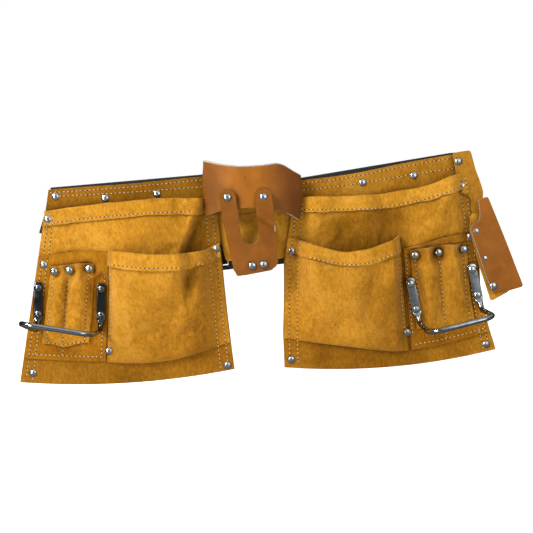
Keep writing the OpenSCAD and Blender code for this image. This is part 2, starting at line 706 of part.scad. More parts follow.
translate(-origin) {
    color(SUEDE) centre_panel();
    color(BLACK) centre_webbing();
    color(HIDE) tape_band();
    color(STEEL) tape_band_rivets();
    color(HIDE) tape_cradle();
    color(SUEDE) cradle_backing();
    color(STEEL) cradle_top_rivets();
    color(STEEL) cradle_bottom_rivets();

    color(SUEDE) side(LEFT) back_panel(LEFT);  // left_back_panel
    color(BLACK) side(LEFT) pouch_webbing(LEFT);  // left_webbing
    color(SUEDE) side(LEFT) rear_pocket(LEFT);  // left_rear_pocket
    color(SUEDE) side(LEFT) front_pocket(LEFT);  // left_front_pocket
    color(SUEDE) side(LEFT) tool_panel(LEFT);  // left_tool_panel
    color(SUEDE) side(LEFT) tool_sleeves(LEFT);  // left_tool_sleeves
    color(STEEL) side(LEFT) hammer_loop(LEFT);  // left_hammer_loop
    color(STEEL) side(LEFT) loop_rivets(LEFT);  // left_loop_rivets
    color(STEEL) side(LEFT) sleeve_rivets(LEFT);  // left_sleeve_rivets
    color(STEEL) side(LEFT) {  // left_seam_rivets
        seam_rivets(LEFT);
        corner_rivet(LEFT);
    }

    color(SUEDE) back_panel(RIGHT);  // right_back_panel
    color(BLACK) pouch_webbing(RIGHT);  // right_webbing
    color(SUEDE) rear_pocket(RIGHT);  // right_rear_pocket
    color(SUEDE) front_pocket(RIGHT);  // right_front_pocket
    color(SUEDE) tool_panel(RIGHT);  // right_tool_panel
    color(SUEDE) tool_sleeves(RIGHT);  // right_tool_sleeves
    color(STEEL) hammer_loop(RIGHT);  // right_hammer_loop
    color(STEEL) loop_rivets(RIGHT);  // right_loop_rivets
    color(STEEL) sleeve_rivets(RIGHT);  // right_sleeve_rivets
    color(STEEL) seam_rivets(RIGHT);  // right_seam_rivets

    color(SUEDE) square_strap();
    color(STEEL) square_strap_rivets();
    color(SUEDE) square_backing();
    color(HIDE) square_sleeve();
    color(STEEL) square_sleeve_rivets();

    color(BLACK) left_strap();
    color(BLACK) right_strap();
    color(BLACK) strap_tail();
    color(BLACK) strap_keeper();
    color(BLACK) buckle_housing();
    color(BLACK) buckle_insert();
    color(BLACK) upper_prong();
    color(BLACK) lower_prong();
}
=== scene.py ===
"""Looks for the carpenter's tool belt: suede, leather, webbing, thread and metal, on the CAD frame."""

import math

import bpy
import numpy as np
from mathutils import Matrix, Vector, geometry, noise
from mathutils.bvhtree import BVHTree


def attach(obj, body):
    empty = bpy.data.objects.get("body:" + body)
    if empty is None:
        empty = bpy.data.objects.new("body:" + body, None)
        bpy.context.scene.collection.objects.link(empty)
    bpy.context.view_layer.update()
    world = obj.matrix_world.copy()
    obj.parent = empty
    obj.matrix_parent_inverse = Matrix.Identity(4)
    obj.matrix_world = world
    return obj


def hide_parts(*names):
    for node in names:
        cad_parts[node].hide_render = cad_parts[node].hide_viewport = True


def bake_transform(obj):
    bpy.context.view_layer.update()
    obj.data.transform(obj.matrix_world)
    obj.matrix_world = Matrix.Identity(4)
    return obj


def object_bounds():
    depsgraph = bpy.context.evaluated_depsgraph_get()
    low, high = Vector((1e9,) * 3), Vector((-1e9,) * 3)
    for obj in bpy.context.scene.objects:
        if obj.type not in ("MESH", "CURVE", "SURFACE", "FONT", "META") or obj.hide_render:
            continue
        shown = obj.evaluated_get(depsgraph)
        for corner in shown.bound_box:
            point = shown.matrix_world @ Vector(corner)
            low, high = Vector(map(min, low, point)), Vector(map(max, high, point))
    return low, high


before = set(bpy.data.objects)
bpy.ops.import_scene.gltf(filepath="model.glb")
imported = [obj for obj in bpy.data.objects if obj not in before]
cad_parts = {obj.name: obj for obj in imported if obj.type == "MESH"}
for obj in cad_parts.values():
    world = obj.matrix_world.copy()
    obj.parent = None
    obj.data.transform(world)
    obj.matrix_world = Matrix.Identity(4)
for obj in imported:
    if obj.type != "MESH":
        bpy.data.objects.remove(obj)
cad_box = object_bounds()
MM = 0.001
# Everything below is in the millimetres of the pouches' drawing; the frame's origin lies here in them
ORIGIN = np.array([0, 5.55, -13.921])


# ---- Small numeric helpers (millimetres, arrays) ------------------------------------------------------
def ease(t, start, end):
    """Smooth step from 0 at start to 1 at end."""
    k = np.clip((np.asarray(t, float) - start) / (end - start), 0, 1)
    return k * k * (3 - 2 * k)


def hump(t, centre, width):
    """A smooth bump of height 1."""
    return np.exp(-(((np.asarray(t, float) - centre) / width) ** 2))


def unit(vectors):
    """Vectors scaled to length 1 along their last axis."""
    return vectors / np.maximum(np.linalg.norm(vectors, axis=-1, keepdims=True), 1e-9)


def walked(path):
    """The distance walked to each point of a path."""
    return np.concatenate([[0], np.cumsum(np.linalg.norm(np.diff(path, axis=0), axis=1))])


def curve_through(t, points):
    """A smooth curve through (t, value) points: straight pieces, softened by averaging."""
    xs, ys = zip(*points)
    t = np.asarray(t, float)
    reach = 0.05 * (xs[-1] - xs[0])
    return sum(np.interp(t + reach * k, xs, ys) for k in (-1, -0.5, 0, 0.5, 1)) / 5


def rough(x, z, scale, seed):
    """Steady noise from -1 to 1 over millimetre positions."""
    flat = np.stack([np.ravel(x), np.ravel(z)], 1) / scale
    out = [noise.noise(Vector((p[0] + 17.3 * seed, p[1] - 9.1 * seed, seed))) for p in flat]
    return np.array(out).reshape(np.shape(x))


def rotated(x, z, angle):
    """(x, z) turned about the origin."""
    return x * math.cos(angle) - z * math.sin(angle), x * math.sin(angle) + z * math.cos(angle)


def vertices_of(node):
    """A CAD node's vertices in the drawing's millimetres."""
    return np.array([v.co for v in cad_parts[node].data.vertices], float).reshape(-1, 3) / MM + ORIGIN


def in_frame(x, y, z):
    """A drawn point in the frame's metres."""
    return Vector((np.array([x, y, z]) - ORIGIN) * MM)


def islands_of(node):
    """A CAD node's solids as (lowest corner, highest corner) in millimetres, told apart by location.

    Points within reach of a solid's first point count as its own. Of two solids closer than about 19 mm, one
    takes some of the other's: so the left rivet at the cradle's foot lies 4.4 mm right of its place.
    """
    reach = 10  # a little more than a rivet's cap is wide
    spots = []
    for p in vertices_of(node):
        for spot in spots:
            if math.hypot(p[0] - spot[0][0], p[2] - spot[0][2]) < reach:
                spot.append(p)
                break
        else:
            spots.append([p])
    return [(np.min(s, 0), np.max(s, 0)) for s in map(np.array, spots)]


# ---- Materials ----------------------------------------------------------------------------------------
class Shade:
    """One material's node tree, with short calls for the nodes that the finishes share."""

    def __init__(self, name):
        self.material = bpy.data.materials.new(name)
        self.material.use_nodes = True
        self.tree = self.material.node_tree
        self.shader = self.tree.nodes["Principled BSDF"]
        self.place = self.node("TexCoord").outputs["Object"]

    def put(self, socket, value):
        if isinstance(value, bpy.types.NodeSocket):
            self.tree.links.new(value, socket)
        else:
            socket.default_value = value

    def fill(self, node, values):
        for key, value in values.items():
            self.put(node.inputs[key.replace("_", " ")], value)

    def node(self, kind, **values):
        n = self.tree.nodes.new("ShaderNode" + kind)
        self.fill(n, values)
        return n

    def set(self, **values):
        self.fill(self.shader, values)

    def stretched(self, x, y, z):
        return self.node("Mapping", Vector=self.place, Scale=(x, y, z)).outputs["Vector"]

    def noise(self, scale, detail=4.0, roughness=0.55, distortion=0.0, source=None):
        return self.node(
            "TexNoise", Vector=source or self.place, Scale=scale, Detail=detail, Roughness=roughness,
            Distortion=distortion).outputs["Fac"]

    def cells(self, scale):
        return self.node("TexVoronoi", Vector=self.place, Scale=scale).outputs["Distance"]

    def math(self, kind, a, b=0.0):
        n = self.node("Math")
        n.operation = kind
        self.put(n.inputs[0], a)
        self.put(n.inputs[1], b)
        return n.outputs[0]

    def range(self, value, low, high, to_low=0.0, to_high=1.0):
        return self.node(
            "MapRange", Value=value, From_Min=low, From_Max=high, To_Min=to_low, To_Max=to_high
        ).outputs["Result"]

    def mix(self, share, a, b, kind="MIX"):
        n = self.node("Mix")
        n.data_type = "RGBA"
        n.blend_type = kind
        for i, value in ((0, share), (6, a), (7, b)):
            self.put(n.inputs[i], value)
        return n.outputs[2]

    def bump(self, height, strength, distance, under=None):
        n = self.node("Bump", Strength=strength, Distance=distance * MM, Height=height)
        if under is not None:
            self.put(n.inputs["Normal"], under)
        return n.outputs["Normal"]

    def painted_shade(self):
        """The share of painted shade on a mesh, read from its tone; 0 where a mesh has none."""
        n = self.node("Attribute")
        n.attribute_name = "tone"
        return n.outputs["Fac"]

    def crevice(self, reach):
        """0 deep in a crease, 1 in the open: the mask for painted shade in creases."""
        n = self.node("AmbientOcclusion", Distance=reach * MM)
        n.samples = 6
        return n.outputs["AO"]


class Sky(Shade):
    """The world's node tree."""

    def __init__(self, world):
        world.use_nodes = True
        self.tree = world.node_tree
        self.shader = self.tree.nodes["Background"]
        self.place = self.node("TexCoord").outputs["Generated"]


def rgb(r, g, b):
    return (r, g, b, 1.0)


def faded(color, share):
    """A colour darkened to a share of itself."""
    return rgb(*(share * c for c in color[:3]))


def suede(name, dark, mid, light):
    """Brushed split leather: mottled dye, short nap, specks, and painted shade in creases and from the mesh's
    tone.
    """
    s = Shade(name)
    clouds = s.range(s.noise(13, 3, 0.5, 0.6), 0.30, 0.70)
    patches = s.range(s.noise(75, 5, 0.6, 0.8), 0.28, 0.72)
    nap = s.range(s.noise(420, 4, 0.65, 0.3, s.stretched(1.0, 1.0, 0.45)), 0.25, 0.75)
    share = s.math("ADD", s.math("MULTIPLY", clouds, 0.32), s.math("MULTIPLY", patches, 0.20))
    share = s.math("ADD", share, s.math("MULTIPLY", nap, 0.48))
    color = s.mix(s.range(share, 0.10, 0.52), dark, mid)
    color = s.mix(s.range(share, 0.48, 0.95), color, light)
    specks = s.range(s.noise(1100, 2, 0.6), 0.58, 0.72)
    color = s.mix(s.math("MULTIPLY", specks, 0.50), color, faded(dark, 0.45))
    pale = s.range(s.noise(1100, 2, 0.6, 0.0, s.stretched(1, 1, 0.7)), 0.62, 0.76)
    color = s.mix(s.math("MULTIPLY", pale, 0.25), color, light)
    # Painted shade: the mesh's tone darkens the dye.
    color = s.mix(s.painted_shade(), color, s.mix(1.0, color, rgb(0.45, 0.40, 0.22), "MULTIPLY"))
    # Painted shade: creases and hollows darkened by ambient occlusion.
    fold = s.range(s.crevice(9), 0.25, 0.90)
    color = s.mix(fold, s.mix(1.0, color, rgb(0.30, 0.24, 0.12), "MULTIPLY"), color)
    grain = s.bump(s.noise(900, 5, 0.7), 0.35, 0.5)
    grain = s.bump(s.noise(170, 4, 0.55), 0.30, 1.2, grain)
    s.set(Base_Color=color, Roughness=0.93, Normal=grain, Specular_IOR_Level=0.06)
    s.set(Sheen_Weight=0.12, Sheen_Roughness=0.45, Sheen_Tint=rgb(1.0, 0.80, 0.45))
    return s.material


def cut_suede(name, color):
    """The raw, fibrous edge of split leather."""
    s = Shade(name)
    fibres = s.noise(1400, 4, 0.7, 0.5)
    tone = s.mix(s.range(fibres, 0.3, 0.7), faded(color, 0.55), color)
    s.set(Base_Color=tone, Roughness=0.97, Normal=s.bump(fibres, 0.6, 0.4))
    return s.material


def grain_leather(name, dark, mid, light):
    """Smooth veg-tanned leather: fine pebbled grain, soft waxed sheen, a few scuffs, and painted shade in
    creases and from the mesh's tone.
    """
    s = Shade(name)
    clouds = s.range(s.noise(22, 4, 0.55, 0.7), 0.3, 0.7)
    pores = s.cells(1700)
    color = s.mix(clouds, dark, mid)
    color = s.mix(s.range(s.noise(60, 3, 0.5, 0.4), 0.50, 0.80, 0.0, 0.45), color, light)
    color = s.mix(s.range(pores, 0.0, 0.35, 0.30, 0.0), color, faded(dark, 0.5))
    scuff = s.range(s.noise(240, 2, 0.5, 2.0, s.stretched(1, 1, 0.35)), 0.71, 0.74, 0.0, 0.5)
    color = s.mix(scuff, color, faded(dark, 0.22))
    # Painted shade: creases darkened by ambient occlusion.
    fold = s.range(s.crevice(8), 0.2, 0.9)
    color = s.mix(fold, faded(dark, 0.35), color)
    bumps = s.bump(pores, 0.10, 0.25)
    bumps = s.bump(s.noise(110, 3), 0.10, 1.0, bumps)
    shine = s.range(s.noise(150, 3), 0.3, 0.7, 0.40, 0.52)
    # Painted shade: the mesh's tone darkens the leather.
    color = s.mix(s.painted_shade(), color, s.mix(1.0, color, rgb(0.36, 0.28, 0.10), "MULTIPLY"))
    s.set(Base_Color=color, Roughness=shine, Normal=bumps)
    s.set(Specular_IOR_Level=0.34, Specular_Tint=rgb(1.0, 0.72, 0.55))
    return s.material


def cut_leather(name):
    """The undyed grey-cream edge of cut leather."""
    s = Shade(name)
    fibres = s.noise(900, 4, 0.7, 0.4)
    tone = s.mix(s.range(fibres, 0.3, 0.7), rgb(0.24, 0.21, 0.18), rgb(0.46, 0.42, 0.37))
    s.set(Base_Color=tone, Roughness=0.9, Normal=s.bump(fibres, 0.4, 0.3))
    return s.material


def thread(name, color):
    """Twisted sewing thread."""
    s = Shade(name)
    ply = s.noise(1600, 2, 0.5, 0.0, s.stretched(1, 1, 0.6))
    tone = s.mix(s.range(ply, 0.3, 0.7), faded(color, 0.62), color)
    s.set(Base_Color=tone, Roughness=0.75, Normal=s.bump(ply, 0.5, 0.2), Sheen_Weight=0.3)
    return s.material


def plated(name, color, roughness, stain):
    """Plated steel: faint brushing, fine scratches, dull stains, and painted shade where it turns away and
    from the mesh's tone.
    """
    s = Shade(name)
    # Painted shade: darker where the surface turns away from the camera.
    turned = s.range(s.node("LayerWeight", Blend=0.35).outputs["Facing"], 0.12, 0.62)
    smear = s.noise(90, 3, 0.5, 0.8)
    scratch = s.noise(500, 2, 0.5, 0.2, s.stretched(1, 1, 0.12))
    tone = s.mix(s.range(smear, 0.45, 0.75, 0.0, stain), color, faded(color, 0.35))
    dull = s.range(smear, 0.35, 0.75, roughness, roughness + 0.16)
    finish = s.math("ADD", dull, s.range(scratch, 0.5, 0.8, 0, 0.05))
    tone = s.mix(turned, tone, faded(color, 0.16))
    # Painted shade: the mesh's tone darkens the metal almost to black.
    tone = s.mix(s.painted_shade(), tone, rgb(0.05, 0.055, 0.06))
    s.set(Base_Color=tone, Metallic=1.0, Roughness=finish, Normal=s.bump(scratch, 0.03, 0.1))
    return s.material


def webbing(name):
    """Black woven polypropylene: ribs and yarns laid out along the strip's own length and width."""
    s = Shade(name)
    along, across, _ = s.node("SeparateXYZ", Vector=s.node("UVMap").outputs["UV"]).outputs
    rib = s.math("SINE", s.math("MULTIPLY", along, 2 * math.pi / 1.9))
    yarn = s.math("SINE", s.math("MULTIPLY", across, 2 * math.pi / 1.5))
    weave = s.math("MULTIPLY", rib, yarn)
    height = s.math("ADD", s.math("MULTIPLY", s.math("ABSOLUTE", yarn), 0.6), s.math("MULTIPLY", weave, 0.5))
    fuzz = s.noise(1300, 3, 0.6)
    tone = s.mix(s.range(height, -0.4, 1.0), rgb(0.003, 0.003, 0.0035), rgb(0.014, 0.014, 0.016))
    tone = s.mix(s.range(fuzz, 0.60, 0.75, 0, 0.5), tone, rgb(0.04, 0.04, 0.043))
    ridges = s.bump(height, 1.0, 0.8)
    s.set(Base_Color=tone, Roughness=0.55, Normal=s.bump(fuzz, 0.3, 0.2, ridges), Sheen_Weight=0.05)
    return s.material


def moulded(name):
    """Black acetal with a fine spark-eroded texture."""
    s = Shade(name)
    skin = s.noise(1500, 3, 0.6)
    tone = s.mix(s.noise(60, 3), rgb(0.012, 0.012, 0.013), rgb(0.026, 0.026, 0.028))
    s.set(Base_Color=tone, Roughness=s.range(skin, 0.3, 0.7, 0.38, 0.52), Normal=s.bump(skin, 0.25, 0.15))
    return s.material


SUEDE = suede("suede", rgb(0.21, 0.085, 0.004), rgb(0.40, 0.175, 0.012), rgb(0.56, 0.285, 0.042))
# A shaded copy of the suede: painted shade for the recessed tool panel.
SUEDE_SHADED = suede("suede_deep", rgb(0.14, 0.050, 0.001), rgb(0.28, 0.108, 0.004), rgb(0.40, 0.180, 0.013))
SUEDE_EDGE = cut_suede("suede_cut", rgb(0.40, 0.20, 0.045))
HIDE = grain_leather("hide", rgb(0.205, 0.064, 0.002), rgb(0.292, 0.096, 0.004), rgb(0.37, 0.130, 0.011))
HIDE_EDGE = cut_leather("hide_cut")
THREAD = thread("thread", rgb(0.62, 0.40, 0.14))
HOLE = cut_suede("needle_hole", rgb(0.075, 0.028, 0.003))
NICKEL = plated("nickel", rgb(0.70, 0.76, 0.78), 0.18, 0.5)
CHROME = plated("chrome", rgb(0.55, 0.60, 0.63), 0.09, 0.6)
WEBBING = webbing("webbing")
PLASTIC = moulded("acetal")


# ---- Mesh helpers -------------------------------------------------------------------------------------
def new_piece(name, verts, faces, materials, marks=None, crisp=40):
    """A mesh object from millimetre points; marks gives each face's material."""
    mesh = bpy.data.meshes.new(name)
    placed = (np.asarray(verts, float) - ORIGIN) * MM
    mesh.from_pydata(placed.tolist(), [], [[int(i) for i in f] for f in faces])
    for m in materials:
        mesh.materials.append(m)
    if marks is not None:
        mesh.polygons.foreach_set("material_index", np.array(marks, np.int32))
    mesh.validate()
    mesh.shade_smooth()
    mesh.set_sharp_from_angle(angle=math.radians(crisp))
    piece = bpy.data.objects.new(name, mesh)
    bpy.context.scene.collection.objects.link(piece)
    return piece


def normals_of(grid):
    """Unit normals of a (rows, columns, 3) grid of points, facing the front."""
    du = np.gradient(grid, axis=1)
    dv = np.gradient(grid, axis=0)
    n = unit(np.cross(du, dv))
    return n if n[..., 1].mean() < 0 else -n


def quads_of(rows, cols):
    """The point numbers of a grid and the four of each of its faces."""
    index = np.arange(rows * cols).reshape(rows, cols)
    corners = [index[:-1, :-1], index[:-1, 1:], index[1:, 1:], index[1:, :-1]]
    return index, np.stack(corners, -1).reshape(-1, 4)


def tube_faces(rings, sides):
    """The faces between rings of points, without end caps."""
    return [
        (i * sides + k, i * sides + (k + 1) % sides, (i + 1) * sides + (k + 1) % sides, (i + 1) * sides + k)
        for i in range(rings - 1) for k in range(sides)
    ]


def slab_from(name, grid, thickness, materials, normal=None):
    """A closed sheet around a grid of middle points, with its cut rim in the second material."""
    n = normals_of(grid) if normal is None else normal
    rows, cols = grid.shape[:2]
    front = grid + n * thickness / 2
    back = grid - n * thickness / 2
    verts = np.concatenate([front.reshape(-1, 3), back.reshape(-1, 3)])
    count = rows * cols
    index, quads = quads_of(rows, cols)
    flip = np.dot(np.cross(front[0, 1] - front[0, 0], front[1, 0] - front[0, 0]), n[0, 0]) < 0
    if flip:
        quads = quads[:, ::-1]
    faces = [quads, quads[:, ::-1] + count]
    loop = np.concatenate([index[0, :-1], index[:-1, -1], index[-1, :0:-1], index[:0:-1, 0]])
    after = np.roll(loop, -1)
    rim = np.stack([loop, loop + count, after + count, after], -1)
    if flip:
        rim = rim[:, ::-1]
    faces = np.concatenate(faces + [rim])
    marks = [0] * (2 * len(quads)) + [1] * len(rim)
    return new_piece(name, verts, faces, materials, marks)


def finish_piece(piece, body, slot, *nodes):
    """Hands a finished piece to its body, with the CAD nodes it stands for."""
    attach(piece, body)
    if nodes:
        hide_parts(*nodes)
    return piece


# ---- Pouches ------------------------------------------------------------------------------------------
SUEDE_T = 1.9
LAYER = 2.1  # pitch of the sewn layers, as in the frame
BACK_MID, REAR_MID, FRONT_MID, SLEEVE_MID = 1.0, -1.1, -3.2, -5.6  # depths of the layers' middles


class Pouch:
    """One pouch's outline: share a runs across (0 inner, 1 outer) and share h runs down."""

    def __init__(self, side):
        self.side = side
        self.sign = -1 if side == "left" else 1
        self.body = side + "_pouch"
        co = vertices_of(side + "_back_panel")
        x, z = self.sign * co[:, 0], co[:, 2]
        corner = [np.argmax(sx * x + sz * z) for sx, sz in ((-1, 1), (1, 1), (-1, -1), (1, -1))]
        self.top_in, self.top_out, self.bottom_in, self.bottom_out = [np.array([x[i], z[i]]) for i in corner]

    def wander(self, a, h):
        """How the hand-cut, sagging outline strays from the frame's straight one."""
        sag = 4 * a * (1 - a)
        if self.side == "left":
            dx = 2.0 * np.sin(3 * h) * (1 - a) ** 6
            dz = -8.5 * sag * h**3 - 1.2 * hump(a, 0.5, 0.25) * (1 - h) ** 6
        else:
            inner = curve_through(h, [(0, 1), (0.2, 5), (0.4, -3), (0.58, -2.2), (0.83, -2.6), (1, 0)])
            outer = curve_through(h, [(0, 0), (0.42, 0), (0.7, -7), (0.86, -5), (1, 0)])
            dx = inner * (1 - a) ** 5 + outer * a**5
            dz = -10 * sag * h**3 - 2.8 * hump(a, 0.35, 0.25) * (1 - h) ** 6
        return dx, dz

    def flat(self, a, h):
        a, h = np.asarray(a, float), np.asarray(h, float)
        top = self.top_in + a[..., None] * (self.top_out - self.top_in)
        bottom = self.bottom_in + a[..., None] * (self.bottom_out - self.bottom_in)
        q = top + h[..., None] * (bottom - top)
        dx, dz = self.wander(a, h)
        return q[..., 0] + dx, q[..., 1] + dz

    def points(self, a, h, y):
        x, z = self.flat(a, h)
        return np.stack([self.sign * x, np.broadcast_to(y, x.shape), z], -1)


POUCHES = (Pouch("left"), Pouch("right"))

# Lines across a pouch that its layers follow, as (a, h) points
REAR_MOUTH = {
    "left": [(0, 0.112), (0.10, 0.120), (0.3, 0.108), (0.5, 0.102), (0.8, 0.108), (1, 0.118)],
    "right": [
        (0, 0.090), (0.25, 0.122), (0.5, 0.152), (0.75, 0.142), (0.89, 0.118), (0.95, 0.100), (1, 0.105)],
}
FRONT_MOUTH = {
    "left": [
        (0, 0.352), (0.03, 0.356), (0.08, 0.384), (0.2, 0.386), (0.384, 0.376), (0.55, 0.350), (0.62, 0.338)],
    "right": [
        (0, 0.300), (0.06, 0.322), (0.15, 0.365), (0.3, 0.412), (0.42, 0.415), (0.54, 0.388), (0.61, 0.362)],
}
FRONT_FOOT = {
    "left": [
        (0, 0.855), (0.15, 0.885), (0.294, 0.908), (0.45, 0.908), (0.6, 0.893), (0.8, 0.882), (1, 0.872)],
    "right": [
        (0, 0.838), (0.15, 0.862), (0.309, 0.888), (0.45, 0.915), (0.56, 0.932), (0.75, 0.925), (1, 0.905)],
}
FRONT_REACH = {"left": 0.600, "right": 0.588}  # where the front pocket's outer seam lies across
TOOL_TOP = {
    "left": [(0.58, 0.350), (0.695, 0.338), (0.8, 0.331), (0.9, 0.338), (1, 0.350)],
    "right": [(0.58, 0.430), (0.668, 0.432), (0.8, 0.405), (0.9, 0.398), (1, 0.410)],
}


# Soft folds of the pockets' faces, as (start, end, width, height); a negative height is a valley
REAR_FOLDS = {
    "left": [((0.26, 0.12), (0.34, 0.36), 10, 1.6), ((0.62, 0.12), (0.55, 0.34), 12, -2.2)],
    "right": [((0.50, 0.16), (0.66, 0.40), 12, -3.0), ((0.90, 0.14), (0.74, 0.40), 9, 3.4)],
}
FRONT_FOLDS = {
    "left": [
        ((0.07, 0.42), (0.22, 0.80), 11, 5.0), ((0.13, 0.42), (0.34, 0.78), 11, -6.5),
        ((0.57, 0.42), (0.46, 0.82), 10, 3.6), ((0.08, 0.66), (0.34, 0.90), 9, -1.6)],
    "right": [
        ((0.12, 0.40), (0.24, 0.76), 13, 4.0), ((0.56, 0.42), (0.44, 0.82), 10, 4.5),
        ((0.44, 0.42), (0.40, 0.80), 12, -5.0), ((0.30, 0.76), (0.52, 0.86), 9, 2.8)],
}


def folded(pouch, x, z, folds):
    """The sum of a pocket's folds; each runs between two (a, h) points and fades at its ends."""
    wave = 0
    for start, end, width, height in folds[pouch.side]:
        p, q = np.array(pouch.flat(*start)), np.array(pouch.flat(*end))
        length = np.linalg.norm(q - p)
        d = (q - p) / length
        along = (x - p[0]) * d[0] + (z - p[1]) * d[1]
        off = (x - p[0]) * -d[1] + (z - p[1]) * d[0]
        fade = ease(along, -0.15 * length, 0.25 * length) * (1 - ease(along, 0.7 * length, 1.15 * length))
        spread = width * (0.7 + 0.6 * np.clip(along / length, 0, 1))
        wave = wave + height * fade * np.exp(-((off / spread) ** 2))
    return wave


def rear_depth(pouch, a, h):
    """How far the rear pocket's face stands forward of its sewn place."""
    x, z = pouch.flat(a, h)
    if pouch.side == "left":
        fold = 0.10 + 0.48 * np.clip(h - 0.12, 0, 0.24)
        rise = ease(a, fold - 0.035, fold + 0.010)
        full = 18 * rise * (1 - ease(a, 0.40, 0.86)) * (1 - ease(h, 0.36, 0.80))
        lip = 1.5 * hump(h, 0.10, 0.05) * rise
    else:
        rise = ease(a, 0.03, 0.16)
        hollow = (1 - 0.7 * ease(a, 0.40, 0.56)) * (1 - ease(a, 0.80, 0.95))
        full = 10 * rise * hollow * (1 - ease(h, 0.40, 0.82))
        full = full + 9 * ease(a, 0.56, 0.76) * (1 - ease(a, 0.88, 0.965)) * (1 - ease(h, 0.30, 0.62))
        lip = 2.5 * hump(h, 0.10, 0.05) * ease(a, 0.7, 0.9) * (1 - ease(a, 0.93, 0.98))
    free = ease(a, 0.02, 0.10) * (1 - ease(a, 0.93, 0.99)) * (1 - ease(h, 0.80, 0.95))
    wave = folded(pouch, x, z, REAR_FOLDS)
    return np.maximum(full + wave * free + lip + 0.8 * free * rough(x, z, 26, 3), 0)


def front_depth(pouch, a, h):
    """How far the front pocket's face stands forward of its sewn place."""
    x, z = pouch.flat(a, h)
    mouth, foot = curve_through(a, FRONT_MOUTH[pouch.side]), curve_through(a, FRONT_FOOT[pouch.side])
    t = np.clip((h - mouth) / (foot - mouth), 0, 1)
    inner, outer = (0.035, 0.60) if pouch.side == "left" else (0.03, 0.585)
    sides = ease(a, inner, inner + 0.10) * (1 - ease(a, outer - 0.055, outer))
    down = (1 - 0.50 * ease(t, 0.25, 0.9)) * np.sqrt(np.clip(1 - t**9, 0, 1))
    full = (25 if pouch.side == "left" else 23) * sides * down
    free = sides * (1 - t**6)
    return full + folded(pouch, x, z, FRONT_FOLDS) * free + 1.1 * free * rough(x, z, 30, 5)


def tool_depth(pouch, a, h):
    """How far the tool panel stands forward of its sewn place."""
    x, z = pouch.flat(a, h)
    top, foot = curve_through(a, TOOL_TOP[pouch.side]), curve_through(a, FRONT_FOOT[pouch.side])
    t = np.clip((h - top) / (foot - top), 0, 1)
    inside = ease(a, 0.648, 0.69) * (1 - ease(a, 0.885, 0.925)) * (1 - ease(t, 0.6, 0.95))
    return inside * (2.6 + 0.8 * rough(x, z, 22, 7))


SLEEVES = {"left": (0.40, 0.80, (0.71, 0.815, 0.895)), "right": (0.445, 0.84, (0.66, 0.78, 0.91))}


def sleeve_depth(pouch, a, h):
    """How far the sleeves stand forward of their sewn place."""
    top, foot, seams = SLEEVES[pouch.side]
    t = np.clip((h - top) / (foot - top), 0, 1)
    swell = 8.0 * (1 - 0.35 * t) * (1 - ease(t, 0.72, 0.98))
    lobes = 0
    for left, right, lean in ((seams[0], seams[1], 0.9), (seams[1], seams[2], 1.15)):
        k = np.clip((a - left) / (right - left), 0, 1)
        lobes = lobes + np.sin(math.pi * k**lean) ** 0.8
    x, z = pouch.flat(a, h)
    return tool_depth(pouch, a, h) + swell * lobes + 0.5 * lobes * rough(x, z, 12, 9)


def grid_over(pouch, a_range, top, bottom, size, middle, depth):
    """A grid of middle points between two lines down the pouch; returns the points and their shares."""
    columns, rows = size
    a = np.broadcast_to(np.linspace(*a_range, columns), (rows, columns))
    t = np.linspace(0, 1, rows)[:, None]
    h = top(a) * (1 - t) + bottom(a) * t
    return pouch.points(a, h, middle - depth(pouch, a, h)), a, h


def line(points):
    """A line across a pouch through (a, h) points."""
    return lambda a: curve_through(a, points)


def level(h):
    """A line across a pouch at one height."""
    return lambda a: np.full(np.shape(a), float(h))


CAP_T = 1.3  # height of a rivet's cap in the frame
SEWN = {"left": [], "right": []}  # every sheet of a pouch that stitches can lie on


def pins(side):
    """Where rivets and the loop's plates hold the layers down: (x, z, depth of their seat, reach)."""
    held = []
    for kind in ("seam", "sleeve"):
        for low, high in islands_of(f"{side}_{kind}_rivets"):
            held.append(((low[0] + high[0]) / 2, (low[2] + high[2]) / 2, low[1] + CAP_T, 5.0))
    seat = vertices_of(side + "_hammer_loop")[:, 1].max() + 0.3
    ends = [((low + high) / 2)[[0, 2]] for low, high in islands_of(side + "_loop_rivets")]
    ends.sort(key=lambda p: p[0])
    for pair in (ends[:2], ends[2:]):
        lower, upper = sorted(pair, key=lambda p: p[1])
        for t in np.linspace(-0.25, 1.25, 9):
            x, z = lower + (upper - lower) * t
            held.append((x, z, seat, 6.5))
    return held


PINS = {"left": pins("left"), "right": pins("right")}
SEWN_PLACE = {1: REAR_MID, 2: FRONT_MID, 3: SLEEVE_MID}  # by the sheet's order from the back panel
HEM_T = 2.2  # what this hem adds under a rivet


def pressed(pouch, grid, order):
    """Holds a sheet's middle points down at the pins; order counts the sheets from the back panel."""
    grid = grid.copy()
    for x, z, seat, reach in PINS[pouch.side]:
        layers = -seat / LAYER + 0.1
        over = max(int(layers) - order, 0)
        # the frame seats a rivet through a hem three quarters of a layer further forward
        hem = HEM_T if layers % 1 > 0.75 else 0
        rest = min(seat + SUEDE_T / 2 + over * LAYER + hem, SEWN_PLACE[order])
        gap = np.hypot(grid[..., 0] - x, grid[..., 2] - z)
        fade = 11 if order == 3 else 8
        hold = 1 - ease(gap, reach - 0.8, reach + fade)
        grid[..., 1] += hold * np.maximum(rest - grid[..., 1], 0)
    return grid


DRAPE_FRAMES = 20


